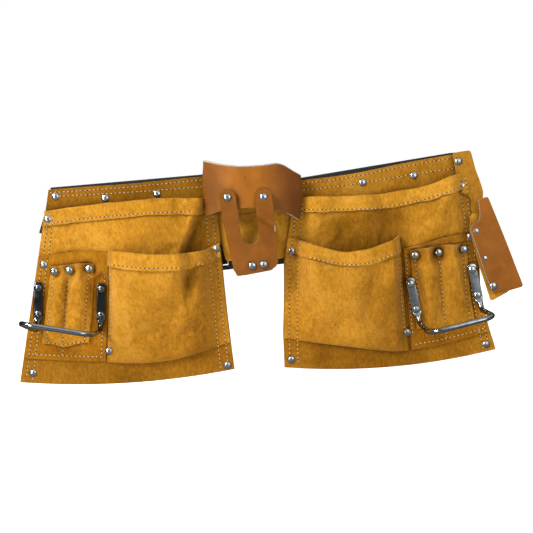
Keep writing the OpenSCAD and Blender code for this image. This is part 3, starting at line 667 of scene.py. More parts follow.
def draped(grid, free, most, grow):
    """Lets a sheet buckle as cloth where free is above zero, and returns its middle points.

    The sheet grows a little between its held seams, as stretched suede does, and may move by at most most.
    """
    step = 2
    rows, cols = (np.unique(np.append(np.arange(0, n, step), n - 1)) for n in grid.shape[:2])
    coarse = grid[np.ix_(rows, cols)]
    loose = free[np.ix_(rows, cols)]
    _, quads = quads_of(len(rows), len(cols))
    mesh = bpy.data.meshes.new("drape")
    mesh.from_pydata((coarse.reshape(-1, 3) * MM).tolist(), [], quads.tolist())
    sheet = bpy.data.objects.new("drape", mesh)
    scene = bpy.context.scene
    scene.collection.objects.link(sheet)
    held = sheet.vertex_groups.new(name="held")
    for i, share in enumerate(loose.ravel()):
        held.add([i], float(1 - share), "REPLACE")
    cloth = sheet.modifiers.new("cloth", "CLOTH")
    fabric = cloth.settings
    fabric.quality = 6
    fabric.mass = 0.25
    fabric.bending_stiffness = 6.0
    fabric.tension_stiffness = 25
    fabric.compression_stiffness = 25
    fabric.shear_stiffness = 12
    fabric.vertex_group_mass = "held"
    fabric.shrink_min = -grow
    fabric.effector_weights.gravity = 0.05
    cloth.point_cache.frame_start = 1
    cloth.point_cache.frame_end = DRAPE_FRAMES
    for frame_number in range(1, DRAPE_FRAMES + 1):
        scene.frame_set(frame_number)
    shaped = sheet.evaluated_get(bpy.context.evaluated_depsgraph_get()).data
    moved = np.empty(len(shaped.vertices) * 3)
    shaped.vertices.foreach_get("co", moved)
    shift = moved.reshape(coarse.shape) / MM - coarse
    scene.frame_set(1)
    bpy.data.objects.remove(sheet)
    bpy.data.meshes.remove(mesh)
    size = np.linalg.norm(shift, axis=2, keepdims=True)
    shift *= most * np.tanh(size / most) / np.maximum(size, 1e-6) * ease(loose, 0, 0.5)[..., None]
    full_rows, full_cols = np.arange(grid.shape[0]), np.arange(grid.shape[1])
    wide = np.array([[np.interp(full_cols, cols, line[:, k]) for k in range(3)] for line in shift])
    tall = np.array([[np.interp(full_rows, rows, wide[:, k, j]) for j in full_cols] for k in range(3)])
    return grid + np.moveaxis(tall, (0, 1, 2), (2, 1, 0))


def toned(piece, tone):
    """Paints shade on a surface as its tone, 0 to 1: one value, or one for each point of a sheet's grid."""
    painted_shade = piece.data.attributes.new("tone", "FLOAT", "POINT")
    values = np.resize(np.clip(tone, 0, 1), len(painted_shade.data))
    painted_shade.data.foreach_set("value", values.astype(np.float32))
    return piece


def add_sheet(pouch, kind, grid, tone, material=SUEDE, slot="suede"):
    """One sewn sheet of a pouch, darkened by its tone of painted shade."""
    node = f"{pouch.side}_{kind}"
    piece = slab_from(node + "_suede", grid, SUEDE_T, [material, SUEDE_EDGE])
    toned(piece, tone)
    finish_piece(piece, pouch.body, slot, node)
    SEWN[pouch.side].append(piece)


def mottle(a, h, scale, seed):
    """Steady noise over a sheet's shares, to break the painted shade into uneven patches."""
    return rough(a * 200, h * 200, scale, seed)


def hem_over(sheet, share):
    """The turned-down band of a pocket's mouth: it rolls over the edge and lies on the pocket's face."""
    n = normals_of(sheet)
    up = unit(sheet[0] - sheet[1])
    turn = 1.15
    band = []
    for angle in np.linspace(0, math.pi, 7):
        forward = n[0] * (turn - turn * math.cos(angle)) * 0.98
        band.append(sheet[0] + up * turn * math.sin(angle) + forward)
    keep = int(round(share * (len(sheet) - 1)))
    for i in range(1, keep + 1):
        lift = 2.25 + 0.35 * (i / keep) ** 2
        band.append(sheet[i] + n[i] * lift)
    return np.array(band)


def add_hem(pouch, kind, sheet, share):
    name = f"{pouch.side}_{kind}_hem_suede"
    hem = slab_from(name, hem_over(sheet, share), SUEDE_T - 0.2, [SUEDE, SUEDE_EDGE])
    finish_piece(hem, pouch.body, "suede")
    SEWN[pouch.side].append(hem)


def back_panel(pouch):
    """The back panel, with a little wave along its free top edge."""
    def wave(pouch, a, h):
        return 0.6 * rough(*pouch.flat(a, h), 45, 11) * (1 - ease(h, 0.04, 0.09))

    grid, a, h = grid_over(pouch, (0, 1), level(0), level(1), (100, 90), BACK_MID, wave)
    # Painted shade: the back panels are darkened, the left one more, in uneven patches.
    painted_shade = 0.95 if pouch.side == "left" else 0.62
    add_sheet(pouch, "back_panel", grid, painted_shade + 0.25 * mottle(a, h, 60, 15))


def rear_pocket(pouch):
    mouth = line(REAR_MOUTH[pouch.side])
    grid, a, h = grid_over(pouch, (0, 1), mouth, level(1), (124, 110), REAR_MID, rear_depth)
    free = ease(a, 0.08, 0.18) * (1 - ease(a, 0.82, 0.93)) * (1 - ease(h, 0.32, 0.44))
    grid = pressed(pouch, draped(grid, free, 3.0, 0.02), 1)
    # Painted shade: the band below the front pocket's foot, the left gusset beyond its fold and the right
    # pocket's valley are darkened.
    low = ease(h - line(FRONT_FOOT[pouch.side])(a), -0.02, 0.01)
    if pouch.side == "left":
        fold = 0.10 + 0.48 * (h - 0.12)
        dim = 0.8 * low + 0.75 * (1 - ease(a, fold - 0.03, fold)) * (h < 0.45)
    else:
        valley = ease(a, 0.08, 0.3) * (1 - ease(a, 0.58, 0.70)) * ease(h, 0.16, 0.26)
        dim = 0.15 + 0.5 * low + 0.75 * valley
    add_sheet(pouch, "rear_pocket", grid, dim + 0.15 * mottle(a, h, 50, 17))
    add_hem(pouch, "rear", grid, 0.082)


def over_rear(depth):
    """The depth of a layer that lies on the rear pocket."""
    return lambda pouch, a, h: depth(pouch, a, h) + rear_depth(pouch, a, h)


def front_pocket(pouch):
    mouth, foot = line(FRONT_MOUTH[pouch.side]), line(FRONT_FOOT[pouch.side])
    reach = FRONT_REACH[pouch.side]
    grid, a, h = grid_over(pouch, (0.004, reach), mouth, foot, (92, 84), FRONT_MID, over_rear(front_depth))
    free = ease(a, 0.07, 0.16) * (1 - ease(a, reach - 0.12, reach - 0.03)) * (1 - ease(h, 0.78, 0.86))
    grid = pressed(pouch, draped(grid, free, 4.0, 0.02), 2)
    # Painted shade: darker towards the bottom, beside the left inner crease and on the right pocket's outer
    # part.
    if pouch.side == "left":
        dim = 0.1 + 0.4 * hump(a, 0.14, 0.07) * ease(h, 0.40, 0.5) + 0.3 * ease(h, 0.60, 0.95)
    else:
        dim = 0.15 + 0.45 * ease(a, 0.30, 0.50) * ease(h, 0.45, 0.75) + 0.2 * ease(h, 0.75, 0.95)
    add_sheet(pouch, "front_pocket", grid, dim + 0.2 * mottle(a, h, 45, 19))
    add_hem(pouch, "front", grid, 0.135)


def tool_panel(pouch):
    top, foot = line(TOOL_TOP[pouch.side]), line(FRONT_FOOT[pouch.side])
    grid, a, h = grid_over(pouch, (0.6065, 0.997), top, foot, (70, 84), FRONT_MID, over_rear(tool_depth))
    # Painted shade: darker towards the bottom, on the shaded copy of the suede.
    dim = 0.3 * ease(h, 0.6, 0.9) + 0.2 * mottle(a, h, 40, 23)
    add_sheet(pouch, "tool_panel", pressed(pouch, grid, 2), dim, SUEDE_SHADED, "suede_deep")


def tool_sleeves(pouch):
    top_h, foot_h, seams = SLEEVES[pouch.side]

    def top(a):
        return top_h + 0.006 * rough(a * 200, a, 20, 13)

    def foot(a):
        return foot_h + 0.018 * hump(a, seams[1] - 0.01, 0.05) - 0.006

    across = (seams[0] - 0.022, seams[2] + 0.022)
    grid, a, h = grid_over(pouch, across, top, foot, (60, 56), SLEEVE_MID, over_rear(sleeve_depth))
    free = (1 - ease(h, foot_h - 0.10, foot_h - 0.03)) * (a > seams[0]) * (a < seams[2])
    for seam in seams:
        free = free * ease(np.abs(a - seam), 0.010, 0.030)
    grid = pressed(pouch, draped(grid, free, 2.0, 0.03), 3)
    # Painted shade: the sleeves darken towards the bottom.
    dim = 0.2 * h if pouch.side == "left" else 0.15 + 0.3 * h
    add_sheet(pouch, "tool_sleeves", grid, dim, slot="suede_deep")


for pouch in POUCHES:
    for layer in (back_panel, rear_pocket, front_pocket, tool_panel, tool_sleeves):
        layer(pouch)


# ---- Rivets -------------------------------------------------------------------------------------------
def lathe_y(profile, segments=28):
    """Turns (radius, y) points about the Y axis; returns vertices and faces."""
    verts, faces = [], []
    for k in range(segments):
        turn = 2 * math.pi * k / segments
        verts += [(r * math.cos(turn), y, r * math.sin(turn)) for r, y in profile]
    m = len(profile)
    for k in range(segments):
        n = (k + 1) % segments
        for i in range(m - 1):
            faces.append((k * m + i, k * m + i + 1, n * m + i + 1, n * m + i))
    return np.array(verts), faces


# The front cap and the rear cap of a tubular rivet, as (radius, y) from each cap's seat
CAP = [(0.02, -1.75), (1.2, -1.68), (2.4, -1.45), (3.4, -1.05), (4.15, -0.5), (4.45, -0.05), (4.35, 0.15)]
CAP += [(3.9, 0.2), (1.7, 0.2)]
REAR_CAP = [(1.7, -0.1), (3.8, -0.1), (4.1, 0.1), (3.95, 0.7), (3.2, 1.25), (2.2, 1.5), (1.35, 1.45)]
REAR_CAP += [(1.0, 1.15), (0.02, 1.15)]


def rivets(name, node, body):
    """A group of rivets where the frame has them, each set a little crooked."""
    verts, faces = [], []
    for low, high in islands_of(node):
        cx, cz = (low[0] + high[0]) / 2, (low[2] + high[2]) / 2
        profile = [(r, low[1] + CAP_T + y) for r, y in CAP]
        profile += [(r, high[1] - CAP_T + y) for r, y in REAR_CAP]
        v, f = lathe_y(profile)
        base = len(verts)
        nod = Matrix.Rotation(0.05 * math.sin(cx * 1.7), 3, "X")
        tilt = nod @ Matrix.Rotation(0.05 * math.cos(cz), 3, "Z")
        mid = np.array([0, (low[1] + high[1]) / 2, 0])
        v = (v - mid) @ np.array(tilt) + mid
        verts += [(p[0] + cx, p[1], p[2] + cz) for p in v]
        faces += [tuple(base + i for i in q) for q in f]
    piece = new_piece(name, verts, faces, [NICKEL], crisp=60)
    # Painted shade: the left hammer loop's rivets are darkened.
    toned(piece, 0.75 if node == "left_loop_rivets" else 0)
    finish_piece(piece, body, "nickel", node)


for pouch in POUCHES:
    for kind in ("seam", "loop", "sleeve"):
        rivets(f"{pouch.side}_{kind}_rivet_caps", f"{pouch.side}_{kind}_rivets", pouch.body)
rivets("square_strap_rivet_caps", "square_strap_rivets", "right_pouch")
rivets("square_sleeve_rivet_caps", "square_sleeve_rivets", "square_holder")
for kind in ("tape_band", "cradle_top", "cradle_bottom"):
    rivets(kind + "_rivet_caps", kind + "_rivets", "centre")


# ---- Pieces cut from flat leather ---------------------------------------------------------------------
def softened(points, radius, steps=5):
    """A closed outline with its corners rounded, as (x, z) points."""
    pts = [np.array(p, float) for p in points]
    out = []
    for before, corner, after in zip(pts[-1:] + pts[:-1], pts, pts[1:] + pts[:1]):
        legs = []
        for other in (before, after):
            d = other - corner
            reach = min(radius, 0.45 * np.linalg.norm(d))
            legs.append(corner + d / np.linalg.norm(d) * reach)
        for t in np.linspace(0, 1, steps):
            out.append((1 - t) ** 2 * legs[0] + 2 * t * (1 - t) * corner + t**2 * legs[1])
    return np.array(out)


def resampled(loop, step):
    """A closed loop of points at an even spacing."""
    closed = np.vstack([loop, loop[:1]])
    along = walked(closed)
    count = max(8, int(along[-1] / step))
    t = np.linspace(0, along[-1], count, endpoint=False)
    return np.stack([np.interp(t, along, closed[:, k]) for k in (0, 1)], 1)


def inside(points, loop):
    """Which points lie inside a closed loop."""
    x, z = points[:, 0], points[:, 1]
    hit = np.zeros(len(points), bool)
    for p, q in zip(loop, np.roll(loop, -1, 0)):
        crosses = (p[1] > z) != (q[1] > z)
        slope = (q[0] - p[0]) / (q[1] - p[1] if abs(q[1] - p[1]) > 1e-9 else 1e-9)
        hit ^= crosses & (x < p[0] + slope * (z - p[1]))
    return hit


def cut_piece(name, outline, depth, thickness, materials, step=2.2):
    """A piece cut to an outline of (x, z) points; depth(x, z) gives its middle surface."""
    loop = resampled(outline, step * 0.6)
    low, high = loop.min(0), loop.max(0)
    xs, zs = np.meshgrid(np.arange(low[0], high[0], step), np.arange(low[1], high[1], step))
    xs = xs + (np.arange(len(zs)) % 2)[:, None] * step / 2
    inner = np.stack([xs.ravel(), zs.ravel()], 1)
    inner = inner[inside(inner, loop)]
    gap = np.min(np.linalg.norm(inner[:, None] - loop[None], axis=2), axis=1)
    inner = inner[gap > 0.55 * step]
    spots = np.vstack([loop, inner])
    edges = [(i, (i + 1) % len(loop)) for i in range(len(loop))]
    out = geometry.delaunay_2d_cdt([Vector(p) for p in spots], edges, [], 0, 1e-5)
    flat = np.array([tuple(v) for v in out[0]])
    tris = np.array(out[2])
    tris = tris[inside(flat[tris].mean(1), loop)]
    y = depth(flat[:, 0], flat[:, 1])
    nudge = 0.05
    nx = (depth(flat[:, 0] + nudge, flat[:, 1]) - y) / nudge
    nz = (depth(flat[:, 0], flat[:, 1] + nudge) - y) / nudge
    normal = unit(np.stack([nx, -np.ones(len(y)), nz], 1))
    middle = np.stack([flat[:, 0], y, flat[:, 1]], 1)
    verts = np.vstack([middle + normal * thickness / 2, middle - normal * thickness / 2])
    u, v = flat[tris[:, 1]] - flat[tris[:, 0]], flat[tris[:, 2]] - flat[tris[:, 0]]
    backward = u[:, 0] * v[:, 1] - u[:, 1] * v[:, 0] < 0
    tris[backward] = tris[backward][:, ::-1]
    count = len(flat)
    directed = {}
    for t in tris:
        for i in range(3):
            directed[(t[i], t[(i + 1) % 3])] = True
    rim = [(b, a, a + count, b + count) for a, b in directed if (b, a) not in directed]
    faces = [tuple(t) for t in tris] + [tuple(t[::-1] + count) for t in tris] + rim
    marks = [0] * (2 * len(tris)) + [1] * len(rim)
    return new_piece(name, verts, faces, materials, marks)


def bevelled(piece, width, segments=2, material=-1):
    soft = piece.modifiers.new("bevel", "BEVEL")
    soft.width = width * MM
    soft.segments = segments
    soft.limit_method = "ANGLE"
    soft.angle_limit = math.radians(50)
    soft.material = material
    soft.use_clamp_overlap = True
    return piece


# ---- Centre panel and tape holder ---------------------------------------------------------------------
outline = softened([(-44, 12), (-43.5, -50), (-39, -83), (28, -87), (38, -60), (43.5, -44), (44, -4)], 4)
panel = cut_piece(
    "centre_panel_suede", outline, lambda x, z: 3.1 + 0.4 * rough(x, z, 30, 21), SUEDE_T, [SUEDE, SUEDE_EDGE])
finish_piece(panel, "centre", "suede", "centre_panel")

BAND_T = 2.8
# The band's edges as (x, z), and how each of its ends turns under as (x, y)
BAND_TOP = [
    (-60, 34.5), (-50, 33.5), (-32, 26.5), (-10, 21.5), (14, 20.5), (34, 22), (43, 14), (52, 5), (60, 1)]
BAND_FOOT = [
    (-60, -30), (-50, -29), (-38, -25.5), (-10, -25), (8, -26.5), (30, -32), (44, -40), (52, -46), (60, -47)]
TURN = [(15, 0.5), (28, 0.5), (31.5, -1.2), (33.3, -4), (35, -8), (38.5, -10.8), (44, -12.3), (52, -13.2)]
BOW_Y, BOW_HALF = -30.0, 52.0


def bow_depth(x):
    """Depth of the tape band's middle surface, an arc that bows forward."""
    rise = -13 - BOW_Y
    radius = (BOW_HALF**2 + rise**2) / (2 * rise)
    return BOW_Y + radius - np.sqrt(radius**2 - np.clip(x, -BOW_HALF, BOW_HALF) ** 2)


def rounded_path(points, rounds=3):
    """A path with its corners cut a few times (Chaikin's rule)."""
    path = np.array(points, float)
    for _ in range(rounds):
        a, b = path[:-1], path[1:]
        cut = np.stack([0.75 * a + 0.25 * b, 0.25 * a + 0.75 * b], 1).reshape(-1, path.shape[1])
        path = np.vstack([path[:1], cut, path[-1:]])
    return path


def along_path(path, step):
    """Points at an even spacing along a path."""
    s = walked(path)
    t = np.linspace(0, s[-1], max(3, int(s[-1] / step) + 1))
    return np.stack([np.interp(t, s, path[:, k]) for k in range(path.shape[1])], 1)


def tape_band():
    xs = np.linspace(-50, 50, 25)
    bow = [(x, bow_depth(x)) for x in xs]
    path = [(-x, y) for x, y in TURN] + bow + TURN[::-1]
    path = along_path(rounded_path(path), 1.4)
    rows = np.append([0, 0.028], np.linspace(0.055, 1, 38))[:, None]
    x, y = path[:, 0], path[:, 1]
    top, foot = curve_through(x, BAND_TOP), curve_through(x, BAND_FOOT)
    z = top * (1 - rows) + foot * rows
    sag = 1.2 * np.sin(rows * math.pi) * hump(x, 0, 40)
    reach = np.clip(np.abs(x) / BOW_HALF, 0, 1) ** 2
    left = -3.4 * ease(-z, -32, -8)
    right = 4.2 * ease(-z, -22, -2) - 6.0 * ease(-z, 12, 46)
    across = x + reach * np.where(x < 0, left, right)
    grid = np.stack([across, y + sag + 0.25 * rough(across, z, 30, 31), z], -1)
    # the sheet's normal turns with the path
    d = np.gradient(path, axis=0)
    n = unit(np.stack([d[:, 1], -d[:, 0]], 1))
    normal = np.zeros_like(grid)
    normal[..., 0], normal[..., 1] = n[:, 0], n[:, 1]
    thick = np.full(rows.shape, BAND_T)
    thick[0] = 0.7
    piece = slab_from("tape_band_leather", grid, thick[..., None], [HIDE, HIDE_EDGE], normal)
    for k in range(len(path) - 1):
        piece.data.polygons[k].material_index = 1
    # Painted shade: the band's ends are darkened, the right end most.
    toned(piece, 0.45 * (1 - ease(across, -46, -24)) + 0.85 * ease(across, 6, 46))
    finish_piece(piece, "centre", "hide", "tape_band")


tape_band()

CRADLE_MID = -33.1


def cradle_depth(x, z):
    """The right arm is pushed forward above a leaning fold, and the foot hangs back a little."""
    crease = z + 34 + 0.85 * (x - 2)
    push = ease(-z, 14, 34) * ease(crease, -5, 2.5) * ease(x, -3, 3)
    sag = 2.2 * ease(-z, 40, 100)
    dish = -0.9 * hump(x, -8, 16) * ease(-z, 66, 84)
    return CRADLE_MID - 7.5 * push + sag + dish


def cradle_outline():
    """Two round-topped arms, the U-shaped slot between them, and the foot."""
    arms = []
    for cx, cz in ((-28.3, -12.0), (11.7, -15.5)):
        turn = np.linspace(0, math.pi, 13)
        arms.append([(cx - 9.3 * math.cos(t), cz + 9.3 * math.sin(t)) for t in turn])
    slot = [(-7.3 - 10.2 * math.cos(t), -56 - 10.2 * math.sin(t)) for t in np.linspace(0, math.pi, 15)]
    left = [(-35.5, -40), (-33.5, -60), (-31.5, -78), (-29.5, -92)]
    foot = [(-26.5, -99.5), (-23, -99.8), (13, -96), (18, -93), (20.5, -88)]
    right = [(20.8, -70), (20.5, -50), (21, -35)]
    return np.array(arms[0] + slot + arms[1] + right[::-1] + foot[::-1] + left[::-1])


cradle = cut_piece("tape_cradle_leather", cradle_outline(), cradle_depth, BAND_T, [HIDE, HIDE_EDGE], 1.7)
# Painted shade: the whole cradle is darkened evenly.
toned(cradle, 0.5)
finish_piece(bevelled(cradle, 0.9, 2, 1), "centre", "hide", "tape_cradle")


def flap_depth(x, z):
    """The flap leaves the centre panel and comes forward to the cradle's foot."""
    return np.interp(-z, [30, 34, 80, 103], [0.4, 0.2, -29.8, -30.3]) + 2.2 * ease(-z, 60, 100)


outline = softened([(-30, -32), (14, -32), (14, -97), (-19, -100), (-27, -95), (-30, -94)], 2)
flap = cut_piece("cradle_backing_suede", outline, flap_depth, 1.8, [SUEDE, SUEDE_EDGE])
finish_piece(flap, "centre", "suede", "cradle_backing")


# ---- Square holder ------------------------------------------------------------------------------------
LEAN = math.radians(16)
NECK = np.array([251, -60])


def leaning(points):
    """Points of the square holder's own frame, turned and moved to its neck."""
    return np.stack(rotated(*np.transpose(points), LEAN), 1) + NECK


plate = [(6.5, 16.5), (17.5, 16), (18, -40), (18.5, -94), (2, -92.5), (-17, -89.5), (-16, -50), (-14.5, -11)]
plate += [(-9, -6.5), (-4, -7.5), (1, -3), (4, 6)]
sleeve = cut_piece(
    "square_sleeve_leather", softened(leaning(plate), 3.2),
    lambda x, z: -15.4 - 1.6 * hump(z, -95, 34) + 0.3 * rough(x, z, 40, 41),
    2.8, [HIDE, HIDE_EDGE], 1.9)
# Painted shade: the sleeve is darkened evenly by its tone.
finish_piece(toned(bevelled(sleeve, 0.6, 2, 1), 0.35), "square_holder", "hide", "square_sleeve")

back = [(-6, 4), (2, 4), (5, -9), (15, -9), (16.5, -90), (0, -95), (-20.5, -97.5), (-18.5, -60), (-14, -13)]
backing = cut_piece(
    "square_backing_suede", softened(leaning(back), 3),
    lambda x, z: -8.9 + 0.7 * rough(x, z, 26, 43), SUEDE_T, [SUEDE, SUEDE_EDGE])
finish_piece(backing, "square_holder", "suede", "square_backing")


def strap_depth(x, z):
    """The square holder's neck: curled forward at its inner edge, then forward to the sleeve."""
    curl = 3.2 * hump(x, 240 + 0.25 * (z + 33), 4.5) * hump(z, -31, 10)
    return -5.0 - curl - 3.0 * ease(-z, 44, 60) + 0.5 * rough(x, z, 18, 47)


outline = softened([
    (230.5, 13.5), (251, 14.5), (253, 4), (255, -8), (259, -22), (261.5, -34), (259, -48), (255, -62),
    (248, -62), (245.5, -50), (247.5, -42), (244, -36.5), (237, -33), (233.5, -27), (232.5, -8)], 3)
strap = cut_piece("square_strap_suede", outline, strap_depth, SUEDE_T, [SUEDE, SUEDE_EDGE], 1.8)
# Painted shade: the strap is darkened evenly.
toned(strap, 0.6)
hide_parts("square_strap")
SEWN["right"].append(strap)


# ---- Sewing -------------------------------------------------------------------------------------------
def tree_of(pieces):
    """One search tree over several meshes, to find the front surface at a point."""
    verts, faces = [], []
    for piece in pieces:
        base = len(verts)
        verts += [tuple(v.co) for v in piece.data.vertices]
        faces += [[base + i for i in p.vertices] for p in piece.data.polygons]
    return BVHTree.FromPolygons(verts, faces)


STITCH, PITCH = 3.4, 4.9  # a stitch's length, and from one stitch's start to the next
LEAD = 0.6  # from a row's start to its first stitch
# A stitch's shape: share of its length, radius, height above the leather
ALONG = [(0.0, 0.20, -0.45), (0.10, 0.34, 0.02), (0.5, 0.40, 0.20), (0.90, 0.34, 0.02), (1.0, 0.20, -0.45)]
SIDES, HOLE_SIDES = 6, 7
HOLE_LIFT = 0.07  # a needle hole's disc lies this far above the leather


def sew(name, body, tree, rows):
    """Stitches of thread along rows of (x, z) points, lying on whatever is in front, with needle holes."""
    verts, faces, marks = [], [], []
    tube = tube_faces(len(ALONG), SIDES)

    def front(x, z):
        """The foremost surface's point and normal at (x, z), or None where there is none."""
        hit = tree.ray_cast(in_frame(x, -120, z), Vector((0, 1, 0)))
        if hit[0] is None:
            return None
        normal = np.array(hit[1])
        return np.array(hit[0]) / MM + ORIGIN, normal if normal[1] < 0 else -normal

    for points in rows:
        path = along_path(np.array(points, float), 0.5)
        s = walked(path)
        for k in range(int(s[-1] / PITCH)):
            start = k * PITCH + LEAD
            x, z = (np.interp([start, start + STITCH], s, path[:, c]) for c in (0, 1))
            ends = [front(*spot) for spot in zip(x, z)]
            if None in ends:
                continue
            (p, pn), (q, qn) = ends
            reach = q - p
            length = np.linalg.norm(reach)
            # a stitch doesn't jump from one layer down to another
            if length > 1.6 * STITCH or length < 1:
                continue
            d = reach / length
            n = pn + qn
            n = unit(n - d * np.dot(n, d))
            side = np.cross(d, n)
            base = len(verts)
            for t, radius, lift in ALONG:
                centre = p + reach * t + n * lift
                for turn in np.arange(SIDES) * 2 * math.pi / SIDES:
                    verts.append(centre + radius * (side * math.cos(turn) + n * math.sin(turn) * 0.85))
            faces += [tuple(base + i for i in f) for f in tube]
            marks += [0] * len(tube)
            for spot, normal, away in ((p, pn, -0.25), (q, qn, 0.25)):
                base = len(verts)
                centre = spot + normal * HOLE_LIFT + d * away
                across = np.cross(d, normal)
                for turn in np.arange(HOLE_SIDES) * 2 * math.pi / HOLE_SIDES:
                    verts.append(centre + d * 0.75 * math.cos(turn) + across * 0.6 * math.sin(turn))
                faces.append(tuple(range(base, base + HOLE_SIDES)))
                marks.append(1)
    finish_piece(new_piece(name, verts, faces, [THREAD, HOLE], marks, 80), body, "suede")


def row(pouch, points):
    """A stitching row through (a, h) points, in millimetres."""
    a, h = np.transpose(points)
    x, z = pouch.flat(a, h)
    return np.stack([pouch.sign * x, z], 1)


def mouth_row(pouch, table, a0, a1, drop):
    """A stitching row that follows one of the lines across a pouch."""
    a = np.linspace(a0, a1, 40)
    return row(pouch, np.stack([a, curve_through(a, table[pouch.side]) + drop], 1))


def pouch_rows(pouch):
    """Sews every row of one pouch."""
    side = pouch.side
    top_h, foot_h, seams = SLEEVES[side]
    reach = FRONT_REACH[side]
    last, second_in, second_out = (1.0, 0.055, 0.038) if side == "left" else (0.94, 0.054, 0.070)
    lines = [
        [(0.0, 0.018), (0.5, 0.018), (last, 0.018)],
        [(0.0, second_in), (last, second_out)],
        [(0.027, 0.09), (0.027, 0.99)],
        [(0.068, 0.12), (0.064, 0.99)],
        [(0.974, 0.12), (0.974, 0.99)],
        [(0.944, 0.12), (0.944, 0.99)],
        [(reach - 0.012, 0.45), (reach - 0.012, 0.85)],
        [(reach + 0.028, 0.44), (reach + 0.028, 0.87)],
        [(seams[1], foot_h), (seams[1], foot_h + 0.07)],
    ]
    lines += [[(a, top_h + 0.045), (a, foot_h - 0.01)] for a in seams]
    if side == "left":
        lines.append(list(zip(seams, (foot_h - 0.012, foot_h + 0.003, foot_h - 0.012))))
    rows = [row(pouch, rounded_path(points, 2)) for points in lines]
    rows += [
        mouth_row(pouch, REAR_MOUTH, 0.08 if side == "left" else 0.03, 0.95, 0.060),
        mouth_row(pouch, FRONT_MOUTH, 0.09, reach - 0.012, 0.060),
        mouth_row(pouch, FRONT_FOOT, 0.62, 0.985, -0.024),
    ]
    sew(side + "_thread", pouch.body, tree_of(SEWN[side]), rows)


for pouch in POUCHES:
    pouch_rows(pouch)


# ---- Webbing ------------------------------------------------------------------------------------------
WEB_W, WEB_T = 49.0, 2.1
# A quarter of the section, as shares of half the width and half the thickness
EDGE = [(0, 1.0), (0.94, 1.0), (0.985, 0.75), (1.0, 0.0)]
SECTION = EDGE + [(w, -t) for w, t in EDGE[2::-1]]
SECTION += [(-w, -t) for w, t in EDGE[1:]] + [(-w, t) for w, t in EDGE[2:0:-1]]
FRONT_RUN, BACK_RUN = 5.55, 24.0  # depths of the webbing's front and rear lengths
TURN_X, BAR_X, BUCKLE_Z = 242.0, 46.0, -63.0
RUN_END = TURN_X - 12  # where the lengths hand over to the outer turn
BEND_IN, BEND_OUT = BAR_X - 3, BAR_X + 3  # the short bend beside the centre panel
BAR_R = 3.7  # radius of the webbing's middle round a buckle's bar


def strip(name, path, heights, skew=None):
    """A length of webbing along (x, y) points, with the height of its middle at each."""
    path = np.array(path, float)
    d = np.gradient(path, axis=0)
    n = unit(np.stack([d[:, 1], -d[:, 0]], 1)) * WEB_T / 2
    s = walked(path)
    skew = np.zeros(len(path)) if skew is None else skew
    verts, coords = [], []
    for i, (x, y) in enumerate(path):
        for w, t in SECTION:
            v = w * WEB_W / 2
            verts.append((x + n[i, 0] * t + skew[i] * w, y + n[i, 1] * t, heights[i] + v))
            coords.append((s[i], v))
    m = len(SECTION)
    caps = [tuple(range(m - 1, -1, -1)), tuple(range(len(verts) - m, len(verts)))]
    piece = new_piece(name, verts, tube_faces(len(path), m) + caps, [WEBBING], crisp=70)
    layer = piece.data.uv_layers.new(name="UVMap")
    for corner, loop in zip(layer.data, piece.data.loops):
        corner.uv = coords[loop.vertex_index]
    return piece


def fixed_strip(name, body, node, path, heights):
    """A length that rides on one body, in place of its CAD node."""
    finish_piece(strip(name, path, heights), body, "webbing", node)


def turning_strip(name, path, heights, skew=None):
    """A length from one (x, y) end to the other, baked in place and given to no body."""
    piece = strip(name, path, heights, skew)
    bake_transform(piece)


def web_z(side, x):
    """Height of the front webbing's middle at a distance x from the belt's middle."""
    rise, tilt = (16, 0.9) if side == "left" else (0, 3.6)
    return rise - 22 + (x - 41) * math.tan(math.radians(tilt))


def level_at(side, x):
    """Height of the back strap's middle at a distance x from the belt's middle."""
    return float(np.interp(x, [BAR_X + 14, TURN_X], [BUCKLE_Z, web_z(side, TURN_X)]))


def straight(x0, x1, y, side, z):
    """A straight length of webbing: its (x, y) points, about 4 mm apart, and its heights."""
    xs = np.linspace(x0, x1, int(abs(x1 - x0) / 4))
    return [(x, y) for x in xs], [z(side, abs(x)) for x in xs]


def web_side(side):
    """One side's webbing: the run in the pouch, the bend to the centre and the outer turn."""
    sign = -1 if side == "left" else 1
    pouch = side + "_pouch"
    path, heights = straight(sign * BEND_OUT, sign * RUN_END, FRONT_RUN, side, web_z)
    fixed_strip(side + "_webbing_run", pouch, side + "_webbing", path, heights)

    path = [(sign * x, FRONT_RUN) for x in np.linspace(BEND_IN, BEND_OUT, 9)]
    heights = np.linspace(web_z(side, BEND_IN), web_z(side, BEND_OUT), 9)
    turning_strip(side + "_webbing_bend", path, heights)

    # The turn at the outer end: its fold line leans, so that the lower edge reaches furthest out
    radius = (BACK_RUN - FRONT_RUN) / 2
    middle_y = (BACK_RUN + FRONT_RUN) / 2
    arc = np.linspace(-math.pi / 2, math.pi / 2, 25)
    fold_x, lean = (231.5, 10.5) if side == "left" else (236, 4)
    lead = [(RUN_END, FRONT_RUN), ((RUN_END + fold_x) / 2, FRONT_RUN)]
    bowed = [(fold_x + radius * math.cos(t), middle_y + radius * math.sin(t)) for t in arc]
    after = [(x, BACK_RUN) for x, _ in reversed(lead)]
    path = [(sign * x, y) for x, y in lead + bowed + after]
    heights = np.linspace(web_z(side, RUN_END), level_at(side, RUN_END), len(path))
    skew = -sign * lean * np.concatenate([[0, 0.04], 0.1 + 0.9 * np.cos(arc), [0.04, 0]])
    turning_strip(side + "_webbing_turn", path, heights, skew)


def round_bar(rear, reach, fore):
    """A strap's end round a buckle's bar: in along the rear, round and back in front, as (x, y)."""
    ring = [(-reach * math.sin(t), BAR_R * math.cos(t)) for t in np.linspace(0.1, math.pi - 0.1, 13)]
    return along_path(rounded_path(rear + ring + fore, 2), 1.6) + [BAR_X, BACK_RUN]


